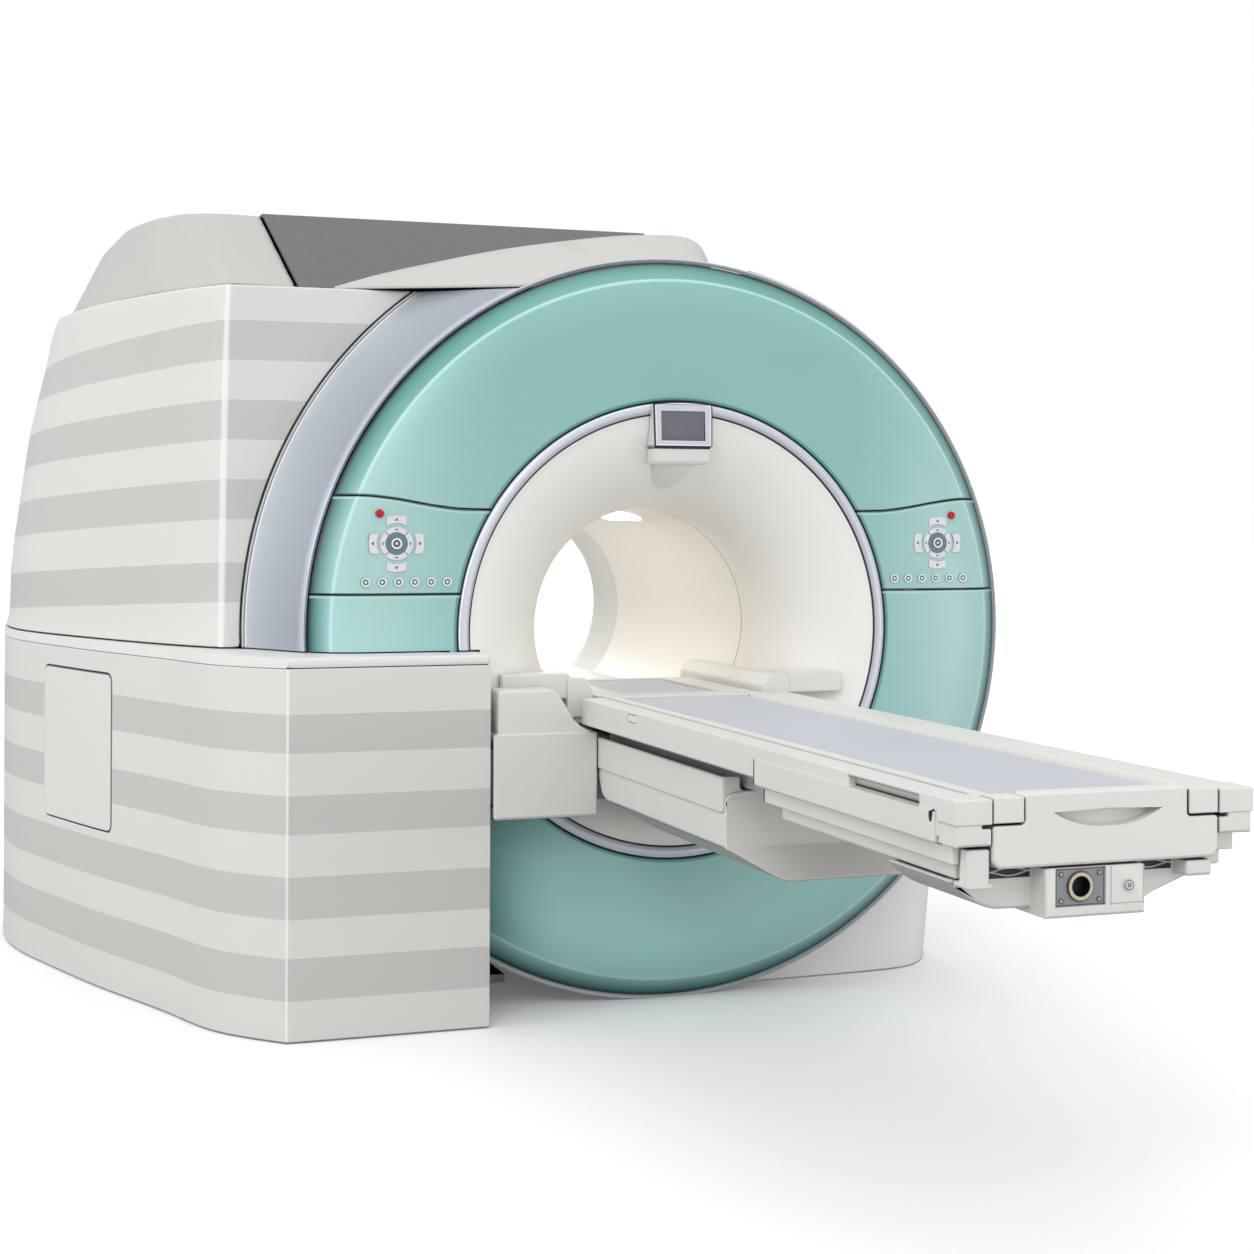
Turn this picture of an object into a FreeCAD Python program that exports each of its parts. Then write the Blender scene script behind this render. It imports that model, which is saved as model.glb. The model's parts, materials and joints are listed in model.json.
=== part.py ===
import FreeCAD, Part
import os, math
import Sketcher
from FreeCAD import Vector, Placement, Rotation

# MRI scanner: a horizontal-bore magnet in moulded covers, with a striped lift
# pillar at its front left and a cantilevered patient table.
# Working frame while building: millimetres, +Z up, +X right seen from the
# front, +Y from the front into the bore, y = 0 at the front trim ring.
# The finished pieces are moved by -iso_y, so that the row's origin lies on
# the floor straight below the isocentre.

os.makedirs("parts", exist_ok=True)
doc = FreeCAD.newDocument("mri_scanner")

# ------------------------------------------------------------------ the sheet
CELLS = [
    # general
    ("iso_y", 950.0), ("bore_z", 1073.0), ("bore_rad", 350.0),
    ("wall", 8.0), ("gap", 1.0), ("rear_y", 1950.0),
    # magnet
    ("vessel_rad", 965.0), ("vessel_inner", 480.0), ("vessel_front", 298.0),
    ("vessel_rear", 1610.0), ("vessel_wall", 12.0), ("cold_rad", 860.0),
    ("cold_inner", 560.0), ("cold_front", 370.0), ("cold_rear", 1530.0),
    ("foot_x", 520.0), ("foot_y", 460.0), ("foot_w", 240.0),
    ("foot_plate", 25.0), ("bolt_rad", 11.0), ("coil_outer", 462.0),
    ("coil_inner", 392.0), ("coil_front", 372.0), ("coil_rear", 1528.0),
    ("liner_wall", 14.0), ("liner_front", 371.0), ("liner_rear", 1529.0),
    # face
    ("ring_rad", 656.5), ("funnel_rad", 625.0), ("lip_y", 275.0),
    ("seam_y", 369.0), ("disc_rad", 1064.6), ("disc_flat", 900.0), ("crease_rad", 1011.0), ("crease_y", 25.0),
    ("disc_edge_y", 74.5), ("disc_wall", 10.0), ("band_rad", 1208.0),
    ("band_front", 1071.0), ("band_y", 296.0), ("face_y", 300.0),
    ("seam_gap", 4.0), ("seam_low", 1183.0), ("seam_out", 1455.0),
    ("seam_in", 1417.0), ("body_top", 2050.0), ("base_top", 618.0),
    # pillar
    ("pillar_front", -120.0), ("pillar_right", -594.5),
    ("pillar_top", 1022.0), ("lid_z", 994.0),
    # controls
    ("ctl_x", 833.0), ("ctl_z", 1323.0), ("stop_x", 880.0),
    ("stop_z", 1406.0), ("stop_rad", 11.0), ("jog_rad", 15.5),
    ("ring_in", 31.5), ("ring_out", 46.0), ("arrow_out", 78.0), ("arrow_in", 56.0),
    ("arrow_half", 28.0), ("key_z", 1217.0),
    ("key_x", 689.0), ("key_pitch", 46.0), ("key_rad", 13.0),
    ("ctl_gap", 0.5), ("ctl_proud", 4.0),
    # table
    ("table_left", -317.4), ("table_right", 322.6), ("table_top", 891.0),
    ("beam_low", 817.0), ("beam_rear", -75.0), ("table_end", -2244.0),
    ("board_half", 244.0), ("board_top", 886.0), ("board_low", 842.0),
    ("pad_half", 196.0), ("pad_top", 889.0), ("head_half", 150.0),
    ("travel", 1350.0), ("lift", 350.0),
]
dims = doc.addObject("Spreadsheet::Sheet", "dims")
for i, (alias, value) in enumerate(CELLS):
    dims.set("A%d" % (i + 1), alias)
    dims.set("B%d" % (i + 1), str(value))
    dims.setAlias("B%d" % (i + 1), alias)
doc.recompute()


class Dim:
    """A size: its number now, and the sheet expression that drives it."""

    def __init__(self, v, e):
        self.v, self.e = float(v), e

    def __add__(self, o):
        o = dim(o)
        return Dim(self.v + o.v, "(%s + %s)" % (self.e, o.e))

    def __radd__(self, o):
        return dim(o) + self

    def __sub__(self, o):
        o = dim(o)
        return Dim(self.v - o.v, "(%s - %s)" % (self.e, o.e))

    def __rsub__(self, o):
        return dim(o) - self

    def __mul__(self, o):
        o = dim(o)
        return Dim(self.v * o.v, "(%s * %s)" % (self.e, o.e))

    def __rmul__(self, o):
        return dim(o) * self

    def __truediv__(self, o):
        o = dim(o)
        return Dim(self.v / o.v, "(%s / %s)" % (self.e, o.e))

    def __neg__(self):
        return Dim(-self.v, "(0 - %s)" % self.e)


def dim(o):
    return o if isinstance(o, Dim) else Dim(o, "%.6f" % o)


class Sheet:
    def __getattr__(self, name):
        value = dims.get(name)
        return Dim(float(getattr(value, "Value", value)), "dims." + name)


S = Sheet()
YEXPR = {}


def bind(obj, prop, value):
    value = dim(value)
    obj.setExpression(prop, value.e)


def place(obj, x, y, z, rot=None):
    x, y, z = dim(x), dim(y), dim(z)
    obj.Placement = Placement(Vector(x.v, y.v, z.v), rot or Rotation())
    for axis, value in (("x", x), ("y", y), ("z", z)):
        obj.setExpression("Placement.Base." + axis, value.e)
    YEXPR[obj.Name] = y
    return obj


def box(name, x0, x1, y0, y1, z0, z1):
    o = doc.addObject("Part::Box", name)
    bind(o, "Length", dim(x1) - x0)
    bind(o, "Width", dim(y1) - y0)
    bind(o, "Height", dim(z1) - z0)
    return place(o, x0, y0, z0)


ALONG = {
    "z": Rotation(), "y": Rotation(Vector(1, 0, 0), -90),
    "x": Rotation(Vector(0, 1, 0), 90),
}


def cyl(name, axis, rad, length, x, y, z):
    o = doc.addObject("Part::Cylinder", name)
    bind(o, "Radius", rad)
    bind(o, "Height", length)
    return place(o, x, y, z, ALONG[axis])


def cone(name, axis, rad1, rad2, length, x, y, z):
    o = doc.addObject("Part::Cone", name)
    bind(o, "Radius1", rad1)
    bind(o, "Radius2", rad2)
    bind(o, "Height", length)
    return place(o, x, y, z, ALONG[axis])


def fuse(name, *items):
    if len(items) == 1:
        return items[0]
    o = doc.addObject("Part::MultiFuse", name)
    o.Shapes = list(items)
    if hasattr(o, "Refine"):
        o.Refine = True
    return o


def cut(name, base, *tools):
    o = doc.addObject("Part::Cut", name)
    o.Base = base
    o.Tool = fuse(name + "_tools", *tools)
    return o


def common(name, a, b):
    o = doc.addObject("Part::MultiCommon", name)
    o.Shapes = [a, b]
    return o


OFF = 5000.0  # keeps every sketch coordinate positive


def draw(body, name, role, pts, shift):
    """A closed outline of lines and arcs: ("P", a, b) is a corner, and ("M", a, b) a point
    that the arc between its neighbours passes."""
    sk = body.newObject("Sketcher::SketchObject", name)
    plane = [f for f in body.Origin.OriginFeatures if f.Role == role][0]
    sk.AttachmentSupport = [(plane, "")]
    sk.MapMode = "FlatFace"
    corners = [i for i, p in enumerate(pts) if p[0] == "P"]
    ends, starts = [], []

    def at(p):
        return Vector(dim(p[1]).v + shift, dim(p[2]).v + shift, 0)

    def fix(geo, pos, p):
        for kind, value in (("DistanceX", p[1]), ("DistanceY", p[2])):
            value = dim(value) + shift
            c = sk.addConstraint(Sketcher.Constraint(kind, -1, 1, geo, pos, value.v))
            if "dims." in value.e:
                sk.setExpression("Constraints[%d]" % c, value.e)

    for n, i in enumerate(corners):
        j = corners[(n + 1) % len(corners)]
        a, b = pts[i], pts[j]
        mid = pts[(i + 1) % len(pts)]
        if mid[0] == "M":
            curve = Part.Arc(at(a), at(mid), at(b)).toShape().Curve
            o, r = curve.Center, curve.Radius
            t0 = math.atan2(at(a).y - o.y, at(a).x - o.x)
            t1 = math.atan2(at(b).y - o.y, at(b).x - o.x)
            tm = math.atan2(at(mid).y - o.y, at(mid).x - o.x)
            turn = 2 * math.pi
            forward = (tm - t0) % turn < (t1 - t0) % turn
            if not forward:
                t0, t1 = t1, t0
            ring = Part.Circle(o, Vector(0, 0, 1), r)
            g = sk.addGeometry(Part.ArcOfCircle(ring, t0, t0 + (t1 - t0) % turn), False)
            first, last = (1, 2) if forward else (2, 1)
            m = sk.addGeometry(Part.Point(at(mid)), True)
            fix(m, 1, mid)
            sk.addConstraint(Sketcher.Constraint("PointOnObject", m, 1, g))
        else:
            g = sk.addGeometry(Part.LineSegment(at(a), at(b)), False)
            first, last = 1, 2
        starts.append((g, first, a))
        ends.append((g, last))
    for n in range(len(corners)):
        g, pos = ends[n]
        h, first, p = starts[(n + 1) % len(corners)]
        sk.addConstraint(Sketcher.Constraint("Coincident", g, pos, h, first))
    for g, first, p in starts:
        fix(g, first, p)
    return sk


def revolve(name, pts, centre_x=0.0, centre_z=None):
    """A ring or disc about a line parallel to Y; a = radius, b = y."""
    body = doc.addObject("PartDesign::Body", name)
    sk = draw(body, name + "_outline", "XZ_Plane",
              [(k, dim(a), dim(b) + OFF) for k, a, b in pts], 0.0)
    f = body.newObject("PartDesign::Revolution", name + "_turn")
    f.Profile = sk
    f.ReferenceAxis = (sk, ["V_Axis"])
    f.Angle = 360.0
    z = S.bore_z if centre_z is None else centre_z
    return place(body, centre_x, -OFF, z, ALONG["y"])


def prism_x(name, pts, x0, x1):
    """An outline in the side view (y, z), extruded from x0 to x1."""
    body = doc.addObject("PartDesign::Body", name)
    sk = draw(body, name + "_outline", "YZ_Plane", pts, OFF)
    f = body.newObject("PartDesign::Pad", name + "_pad")
    f.Profile = sk
    bind(f, "Length", dim(x1) - x0)
    return place(body, x0, -OFF, -OFF)


def prism_y(name, pts, y0, y1):
    """An outline in the front view (x, z), extruded from y0 to y1."""
    body = doc.addObject("PartDesign::Body", name)
    sk = draw(body, name + "_outline", "XZ_Plane", pts, OFF)
    f = body.newObject("PartDesign::Pad", name + "_pad")
    f.Profile = sk
    f.Reversed = True
    bind(f, "Length", dim(y1) - y0)
    return place(body, -OFF, y0, -OFF)


def prism_z(name, pts, z0, z1):
    """An outline in plan (x, y), extruded from z0 to z1."""
    body = doc.addObject("PartDesign::Body", name)
    sk = draw(body, name + "_outline", "XY_Plane", pts, OFF)
    f = body.newObject("PartDesign::Pad", name + "_pad")
    f.Profile = sk
    bind(f, "Length", dim(z1) - z0)
    return place(body, -OFF, -OFF, z0)


def free(name, shape):
    o = doc.addObject("Part::Feature", name)
    o.Shape = shape
    YEXPR[o.Name] = dim(0)
    return o


FINAL = []


def node(label, obj):
    """A finished piece: it gets its label, and its place in the row's frame."""
    obj.Label = label
    y = YEXPR.get(obj.Name, dim(0)) - S.iso_y
    obj.setExpression("Placement.Base.y", y.e)
    FINAL.append((label, obj))
    return obj


def P(a, b):
    return ("P", a, b)


def M(a, b):
    return ("M", a, b)


def rect(a0, a1, b0, b1):
    return [P(a0, b0), P(a1, b0), P(a1, b1), P(a0, b1)]


def v(name):
    return getattr(S, name).v


zc = S.bore_z

# ------------------------------------------------------- magnet and inner coils
# Outer vacuum vessel: a ring-shaped steel can with welded feet and a turret.
vessel_skin = revolve("vessel_skin", [
    P(S.vessel_inner, S.vessel_front), P(S.vessel_rad - 60, S.vessel_front),
    M(S.vessel_rad - 17.6, S.vessel_front + 17.6),
    P(S.vessel_rad, S.vessel_front + 60), P(S.vessel_rad, S.vessel_rear - 60),
    M(S.vessel_rad - 17.6, S.vessel_rear - 17.6),
    P(S.vessel_rad - 60, S.vessel_rear), P(S.vessel_inner, S.vessel_rear)])
turret = cyl("turret", "z", 130.0, 352.0, -560.0, S.iso_y, 1700.0)
turret_flange = cyl("turret_flange", "z", 160.0, 22.0, -560.0, S.iso_y, 2050.0)
legs, leg_holes = [], []
for sx in (-1, 1):
    for sy in (-1, 1):
        n = "%s%s" % ("l" if sx < 0 else "r", "f" if sy < 0 else "b")
        x = S.foot_x * sx
        y = S.iso_y + S.foot_y * sy
        legs.append(box("leg_" + n, x - 70, x + 70, y - 60, y + 60, 0, 330))
        legs.append(box("foot_" + n, x - S.foot_w / 2, x + S.foot_w / 2,
                        y - 90, y + 90, 0, S.foot_plate))
        bx = x + 85.0 * sx
        leg_holes.append(cyl("anchor_" + n, "z", S.bolt_rad, 60.0, bx, y, -10.0))
shell = cut("vessel_shell", fuse("vessel_outer", vessel_skin, turret, turret_flange, *legs),
            revolve("vessel_core", rect(S.vessel_inner + S.vessel_wall,
                    S.vessel_rad - 20, S.vessel_front + 20, S.vessel_rear - 20)),
            *leg_holes)
node("magnet_vessel", shell)

# Cold mass: the sealed helium vessel with the superconducting windings in it.
cold = revolve("cold_can", [
    P(S.cold_inner, S.cold_front), P(S.cold_rad - 80, S.cold_front),
    P(S.cold_rad, S.cold_front + 80), P(S.cold_rad, S.cold_rear - 80),
    P(S.cold_rad - 80, S.cold_rear), P(S.cold_inner, S.cold_rear)])
reach = S.vessel_rad - 20.4
struts = []
for n, dy in (("f", -400.0), ("b", 400.0)):
    y = S.iso_y + dy
    struts += [cyl("strut_right_" + n, "x", 18.0, reach - (S.cold_rad - 10), S.cold_rad - 10, y, zc),
               cyl("strut_left_" + n, "x", 18.0, reach - (S.cold_rad - 10), -reach, y, zc),
               cyl("strut_top_" + n, "z", 18.0, reach - (S.cold_rad - 10), 0.0, y, zc + S.cold_rad - 10),
               cyl("strut_low_" + n, "z", 18.0, reach - (S.cold_rad - 10), 0.0, y, zc - reach)]
node("cold_mass", fuse("cold_mass", cold, *struts))

# Gradient coil: a thick epoxy-cast tube, wedged in the vessel's bore by two rings.
node("gradient_coil", fuse(
    "gradient_coil",
    revolve("gradient_tube", rect(S.coil_inner, S.coil_outer, S.coil_front, S.coil_rear)),
    revolve("wedge_front", rect(S.coil_inner + 20, S.vessel_inner - 0.5,
                                S.coil_front + 60, S.coil_front + 90)),
    revolve("wedge_rear", rect(S.coil_inner + 20, S.vessel_inner - 0.5,
                               S.coil_rear - 90, S.coil_rear - 60))))

# Body transmit coil: the tube that the patient lies in; its inside is the
# visible bore wall between the two seams. Two rings centre it.
node("body_coil", fuse(
    "body_coil",
    revolve("liner_tube", rect(S.bore_rad, S.bore_rad + S.liner_wall,
                               S.liner_front, S.liner_rear)),
    revolve("liner_ring_front", rect(S.bore_rad + 8, S.coil_inner - 0.5,
                                     S.liner_front + 30, S.liner_front + 50)),
    revolve("liner_ring_rear", rect(S.bore_rad + 8, S.coil_inner - 0.5,
                                    S.liner_rear - 50, S.liner_rear - 30))))

# ------------------------------------------------------------------ front face
# Everything on the front face is cut away where the lift pillar stands.
pillar_room = box("pillar_room", -1500.0, S.pillar_right + 5, -400.0, 700.0,
                  -50.0, S.pillar_top + 4)


front_funnel = revolve("funnel_wall", [
    P(S.funnel_rad, 3.0), P(S.funnel_rad - 18, 10.0),
    M(S.bore_rad + 97, 97.0), P(S.bore_rad + 3, S.lip_y),
    P(S.bore_rad, S.lip_y + 40), P(S.bore_rad, S.seam_y),
    P(S.bore_rad + 8, S.seam_y), P(S.bore_rad + 8, S.lip_y + 40),
    P(S.bore_rad + 11, S.lip_y + 3), M(S.bore_rad + 104, 104.0),
    P(S.funnel_rad - 14, 18.0), P(S.funnel_rad, 11.0)])
node("front_funnel", cut("front_funnel", front_funnel, pillar_room))

trim = revolve("trim_ring_full", [
    P(S.funnel_rad + 0.6, 12.0), P(S.funnel_rad + 0.6, 2.0),
    M(S.funnel_rad + 15, -7.0), P(S.ring_rad - 0.6, 2.0), P(S.ring_rad - 0.6, 12.0)])
node("trim_ring", cut("trim_ring", trim, pillar_room))

# Four crowned panels make the coloured disc; S-shaped seams part them.
disc = revolve("disc_skin", [
    P(S.ring_rad + 0.6, 8.0), P(S.ring_rad + 2.5, 2.0), P(S.ring_rad + 8, 0.0),
    P(S.disc_flat, 0.0), M(S.disc_flat + 58, 6.4), P(S.crease_rad - 3, S.crease_y - 1.3),
    P(S.crease_rad, S.crease_y + 0.8), P(S.disc_rad - 2.5, S.disc_edge_y - 3),
    P(S.disc_rad, S.disc_edge_y),
    P(S.disc_rad - 3, S.disc_edge_y + 2), P(S.disc_rad - S.disc_wall, S.disc_edge_y),
    P(S.crease_rad - 5, S.crease_y + S.disc_wall),
    M(S.disc_flat + 54, 15.8), P(S.disc_flat, S.disc_wall),
    P(S.ring_rad + 0.6, S.disc_wall)])


def seam(side, shift):
    """Upper seam of a control panel, from the disc's edge inwards."""
    s = float(side)
    return [(s * 1130.0, S.seam_out + shift), (s * 985.0, S.seam_out + shift + 1),
            (s * 905.0, S.seam_out + shift - 1), (s * 820.0, S.seam_out + shift - 10),
            (s * 740.0, S.seam_in + shift + 14), (s * 660.0, S.seam_in + shift + 4),
            (s * 560.0, S.seam_in + shift)]


half = S.seam_gap / 2
up_l = seam(-1, half)
up_r = seam(1, half)
top_area = prism_y("top_area",
                   [P(x, z) for x, z in up_l] + [P(x, z) for x, z in reversed(up_r)]
                   + [P(1130.0, 2300.0), P(-1130.0, 2300.0)], -40.0, 140.0)
node("face_panel_top", common("face_panel_top", disc, top_area))
for side, word in ((-1, "left"), (1, "right")):
    area = prism_y("control_area_" + word,
                   [P(x, z - S.seam_gap) for x, z in seam(side, half)]
                   + [P(side * 560.0, S.seam_low + half),
                      P(side * 1130.0, S.seam_low + half)], -40.0, 140.0)
    panel = common("control_disc_" + word, disc, area)
    cx, cz = S.ctl_x * side, S.ctl_z

    def arcs(name, grow, y0, length):
        """The arrow cluster's keytops: four outer arcs, and a ring in four quarters."""
        ring = cut(name + "_ring",
                   cyl(name + "_out", "y", S.arrow_out + grow, length, cx, y0, cz),
                   cyl(name + "_in", "y", S.arrow_in - grow, length + 4, cx, dim(y0) - 2, cz))
        w = S.arrow_half + grow
        cross = fuse(name + "_cross",
                     box(name + "_v", cx - w, cx + w, dim(y0) - 2, dim(y0) + length + 2, cz - 90, cz + 90),
                     box(name + "_h", cx - 90, cx + 90, dim(y0) - 2, dim(y0) + length + 2, cz - w, cz + w))
        inner = cut(name + "_inner",
                    cyl(name + "_inner_out", "y", S.ring_out + grow, length, cx, y0, cz),
                    cyl(name + "_inner_in", "y", S.ring_in - grow, length + 4, cx, dim(y0) - 2, cz),
                    *[prism_y(name + "_web_" + tag, [
                        P(cx + a * 50 - b * bar, cz + b * 50 + a * bar),
                        P(cx - a * 50 - b * bar, cz - b * 50 + a * bar),
                        P(cx - a * 50 + b * bar, cz - b * 50 - a * bar),
                        P(cx + a * 50 + b * bar, cz + b * 50 - a * bar)],
                        dim(y0) - 2, dim(y0) + length + 2)
                      for a, b, bar, tag in ((0.707107, 0.707107, 2.4 - grow, "up"),
                                             (0.707107, -0.707107, 2.4 - grow, "down"))])
        return fuse(name, common(name + "_outer", ring, cross), inner)

    holes = [cyl("stop_hole_" + word, "y", S.stop_rad + S.ctl_gap, 120.0,
                 S.stop_x * side, -40.0, S.stop_z),
             cyl("jog_hole_" + word, "y", S.jog_rad + S.ctl_gap, 60.0, cx, -40.0, cz),
             arcs("arrow_holes_" + word, S.ctl_gap, -40.0, 120.0)]
    for k in range(6):
        holes.append(cyl("key_hole_%s_%d" % (word, k + 1), "y",
                         S.key_rad + S.ctl_gap, 120.0,
                         (S.key_x + S.key_pitch * k) * side, -40.0, S.key_z))
    lo, hi = (-952.0, -664.0) if side < 0 else (664.0, 952.0)
    tray = cut("tray_" + word,
               box("tray_wall_" + word, lo, hi, 9.0, 40.0, 1192.0, 1430.0),
               box("tray_room_" + word, lo + 4, hi - 4, 5.0, 36.0, 1196.0, 1426.0))
    tray = common("tray_trimmed_" + word,
                  common("tray_in_disc_" + word, tray,
                         cyl("tray_limit_" + word, "y", 972.0, 60.0, 0.0, 0.0, zc)), area)
    bezel = cyl("bezel_" + word, "y", S.ring_in - 1.5, 4.0, cx, -1.5, cz)
    node("face_panel_" + word,
         fuse("face_panel_" + word,
              cut("panel_holed_" + word, fuse("panel_bezel_" + word, panel, bezel), *holes),
              tray))
    # the buttons, each with a retaining flange behind the panel
    node("stop_button_" + word, fuse(
        "stop_button_" + word,
        cone("stop_dome_" + word, "y", S.stop_rad - 3, S.stop_rad, 2.5, S.stop_x * side, -7.0, S.stop_z),
        cyl("stop_cap_" + word, "y", S.stop_rad, 23.5, S.stop_x * side, -4.5, S.stop_z),
        cyl("stop_flange_" + word, "y", S.stop_rad + 3, 2.5, S.stop_x * side, 16.5, S.stop_z)))
    node("jog_button_" + word, fuse(
        "jog_button_" + word,
        cut("jog_dished_" + word,
            cyl("jog_cap_" + word, "y", S.jog_rad, 18.0, cx, -6.0, cz),
            cone("jog_dish_" + word, "y", S.jog_rad - 4.5, S.jog_rad - 7.5, 3.0, cx, -6.5, cz)),
        cone("jog_point_" + word, "y", 3.0, 5.5, 3.0, cx, -6.0, cz),
        cyl("jog_flange_" + word, "y", S.jog_rad + 4, 2.0, cx, 11.0, cz)))
    node("arrow_keys_" + word, fuse(
        "arrow_keys_" + word, arcs("arrow_caps_" + word, 0.0, -3.0, 21.0),
        cut("arrow_plate_" + word,
            cyl("arrow_plate_out_" + word, "y", S.arrow_out + 2.5, 2.5, cx, 17.0, cz),
            cyl("arrow_plate_in_" + word, "y", S.ring_in - 4, 6.0, cx, 16.0, cz))))
    for k in range(6):
        kx = (S.key_x + S.key_pitch * k) * side
        tag = "%s_%d" % (word, k + 1)
        node("key_" + tag, fuse(
            "key_" + tag,
            cut("key_grooved_" + tag,
                cyl("key_cap_" + tag, "y", S.key_rad, 21.0, kx, -4.0, S.key_z),
                cut("key_groove_" + tag,
                    cyl("key_groove_out_" + tag, "y", S.key_rad - 4.5, 2.0, kx, -5.0, S.key_z),
                    cyl("key_groove_in_" + tag, "y", S.key_rad - 9, 4.0, kx, -6.0, S.key_z))),
            cyl("key_flange_" + tag, "y", S.key_rad + 2.5, 2.0, kx, 16.0, S.key_z)))
low_area = box("low_area", -1130.0, 1130.0, -40.0, 140.0, -60.0, S.seam_low - half)
# A tongue of the lower panel runs on inside the pillar, so that the part of
# the disc over the pillar's lid belongs to it.
tongue = box("tongue", -680.0, -560.0, -6.0, 14.0, 660.0, S.pillar_top + 10)
disc_low = common("disc_low", disc, low_area)
node("face_panel_bottom", cut("face_panel_bottom", disc_low,
                              cut("pillar_room_left", pillar_room, tongue)))

# Silver side wall of the drum, from the disc's edge back to the body.
band = revolve("band_skin", [
    P(S.band_front, S.disc_edge_y + 6), P(S.band_front + 4, S.disc_edge_y - 2),
    P(S.band_front + 8, S.disc_edge_y + 2), P(S.band_rad - 6, S.band_y - 6),
    P(S.band_rad, S.band_y - 9), P(S.band_rad + 3, S.band_y),
    P(S.band_rad - 12, S.band_y), P(S.band_front - 4, S.disc_edge_y + 6)])
band_area = box("band_area", -1300.0, 0.0, 0.0, 400.0, S.base_top + 2, S.body_top - 3)
# The rim at its front edge runs on round the disc, above and below the wall.
rim = revolve("rim_skin", [
    P(S.band_front - 4, S.disc_edge_y + 6), P(S.band_front, S.disc_edge_y + 2),
    P(S.band_front + 4, S.disc_edge_y - 2), P(S.band_front + 8, S.disc_edge_y + 2),
    P(S.band_front + 8, S.disc_edge_y + 6)])
rim_area = box("rim_area", -1300.0, 1300.0, 0.0, 400.0, 2.0, 2300.0)
node("drum_band", cut("drum_band",
                      fuse("band_and_rim", common("band_cut", band, band_area),
                           common("rim_cut", rim, rim_area)), pillar_room))

# The space that the funnel and the bore wall fill, a little grown: it trims
# whatever stands on them.
backing = revolve("backing", [
    P(S.funnel_rad - 19, 8.0), M(S.bore_rad + 96, 96.0), P(S.bore_rad + 2, S.lip_y - 1),
    P(S.bore_rad - 1, S.lip_y + 40), P(S.bore_rad - 1, 2000.0), P(800.0, 2000.0),
    P(800.0, 1.5), P(S.ring_rad + 1, 1.5), P(S.ring_rad - 4, -5.0),
    P(S.funnel_rad + 15, -8.5), P(S.funnel_rad + 4, -5.0), P(S.funnel_rad - 1, 1.5)])

# ------------------------------------------------------- display above the bore
head = common("display_head",
              prism_x("head_side", [
                  P(-34.0, 1602.0), P(-27.0, 1722.0), P(-23.0, 1731.0),
                  P(60.0, 1731.0), P(60.0, 1597.0), P(-29.0, 1597.0)], -92.0, 92.0),
              prism_y("head_front", [
                  P(-91.0, 1722.5), P(-89.0, 1603.0), P(-83.0, 1597.0), P(83.0, 1597.0),
                  P(89.0, 1603.0), P(91.0, 1722.5), M(0.0, 1729.5)], -60.0, 80.0))
chin = common("display_chin",
              prism_x("chin_side", [
                  P(-25.0, 1600.0), P(90.0, 1600.0), P(90.0, 1549.0),
                  P(-4.0, 1549.0), P(-14.0, 1552.0), P(-20.0, 1560.0)], -92.0, 92.0),
              prism_y("chin_front", [
                  P(-86.0, 1601.0), P(-84.0, 1562.0), P(-80.0, 1553.0), P(-70.0, 1549.0),
                  P(70.0, 1549.0), P(80.0, 1553.0), P(84.0, 1562.0), P(86.0, 1601.0)],
                  -60.0, 100.0))


def lobe():
    """The bulge under the chin: oval sections that shrink and draw back into the funnel."""
    wires = []
    for z, half, front, deep in ((1575.0, 81.0, 6.0, 150.0), (1549.0, 78.0, 14.0, 150.0),
                                 (1528.0, 69.0, 30.0, 145.0), (1510.0, 56.0, 50.0, 140.0),
                                 (1496.0, 42.0, 72.0, 130.0), (1486.0, 28.0, 98.0, 115.0),
                                 (1480.0, 16.0, 126.0, 100.0)):
        pts = [Vector(half * math.sin(t), front + deep - deep * math.cos(t), z)
               for t in [2 * math.pi * k / 24 for k in range(24)]]
        c = Part.BSplineCurve()
        c.interpolate(Points=pts, PeriodicFlag=True)
        wires.append(Part.Wire([c.toShape()]))
    return Part.makeLoft(wires, True, False)


node("display_unit", cut("display_unit",
                         fuse("display_shape", head, chin, free("display_nose", lobe())),
                         backing,
                         box("screen_room", -66.5, 66.5, -60.0, -20.0, 1618.5, 1701.5)))
node("display_screen", box("display_screen", -66.0, 66.0, -27.0, -20.5, 1619.0, 1701.0))

# --------------------------------------------------------------- bore furniture
bore_room = revolve("bore_room", [
    P(1.0, -80.0), P(S.funnel_rad - 22, -80.0), P(S.funnel_rad - 22, 6.0),
    P(S.bore_rad + 148, 45.0), P(S.bore_rad + 84, 100.0), P(S.bore_rad + 32, 170.0),
    P(S.bore_rad + 1, S.lip_y - 2),
    P(S.bore_rad - 2, S.lip_y + 40), P(S.bore_rad - 2, 1930.0), P(1.0, 1930.0)])
bridge = fuse(
    "bridge_blocks",
    box("deck", -225.0, 225.0, 6.0, 1920.0, 822.0, S.board_low - 0.4),
    box("deck_web", -70.0, 70.0, 60.0, 1900.0, 715.0, 824.0),
    box("guide_right_low", 215.0, 345.0, 6.0, 670.0, 812.0, 836.0),
    box("guide_right", 262.0, 345.0, -6.0, 670.0, 830.0, 938.0),
    box("guide_left_low", -345.0, -215.0, 6.0, 320.0, 812.0, 836.0),
    box("guide_left", -338.0, -262.0, -6.0, 320.0, 830.0, 942.0),
    box("arm_right", 340.0, 520.0, 4.0, 84.0, 884.0, 942.0),
    box("arm_left", -530.0, -330.0, 4.0, 84.0, 884.0, 955.0))
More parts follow.
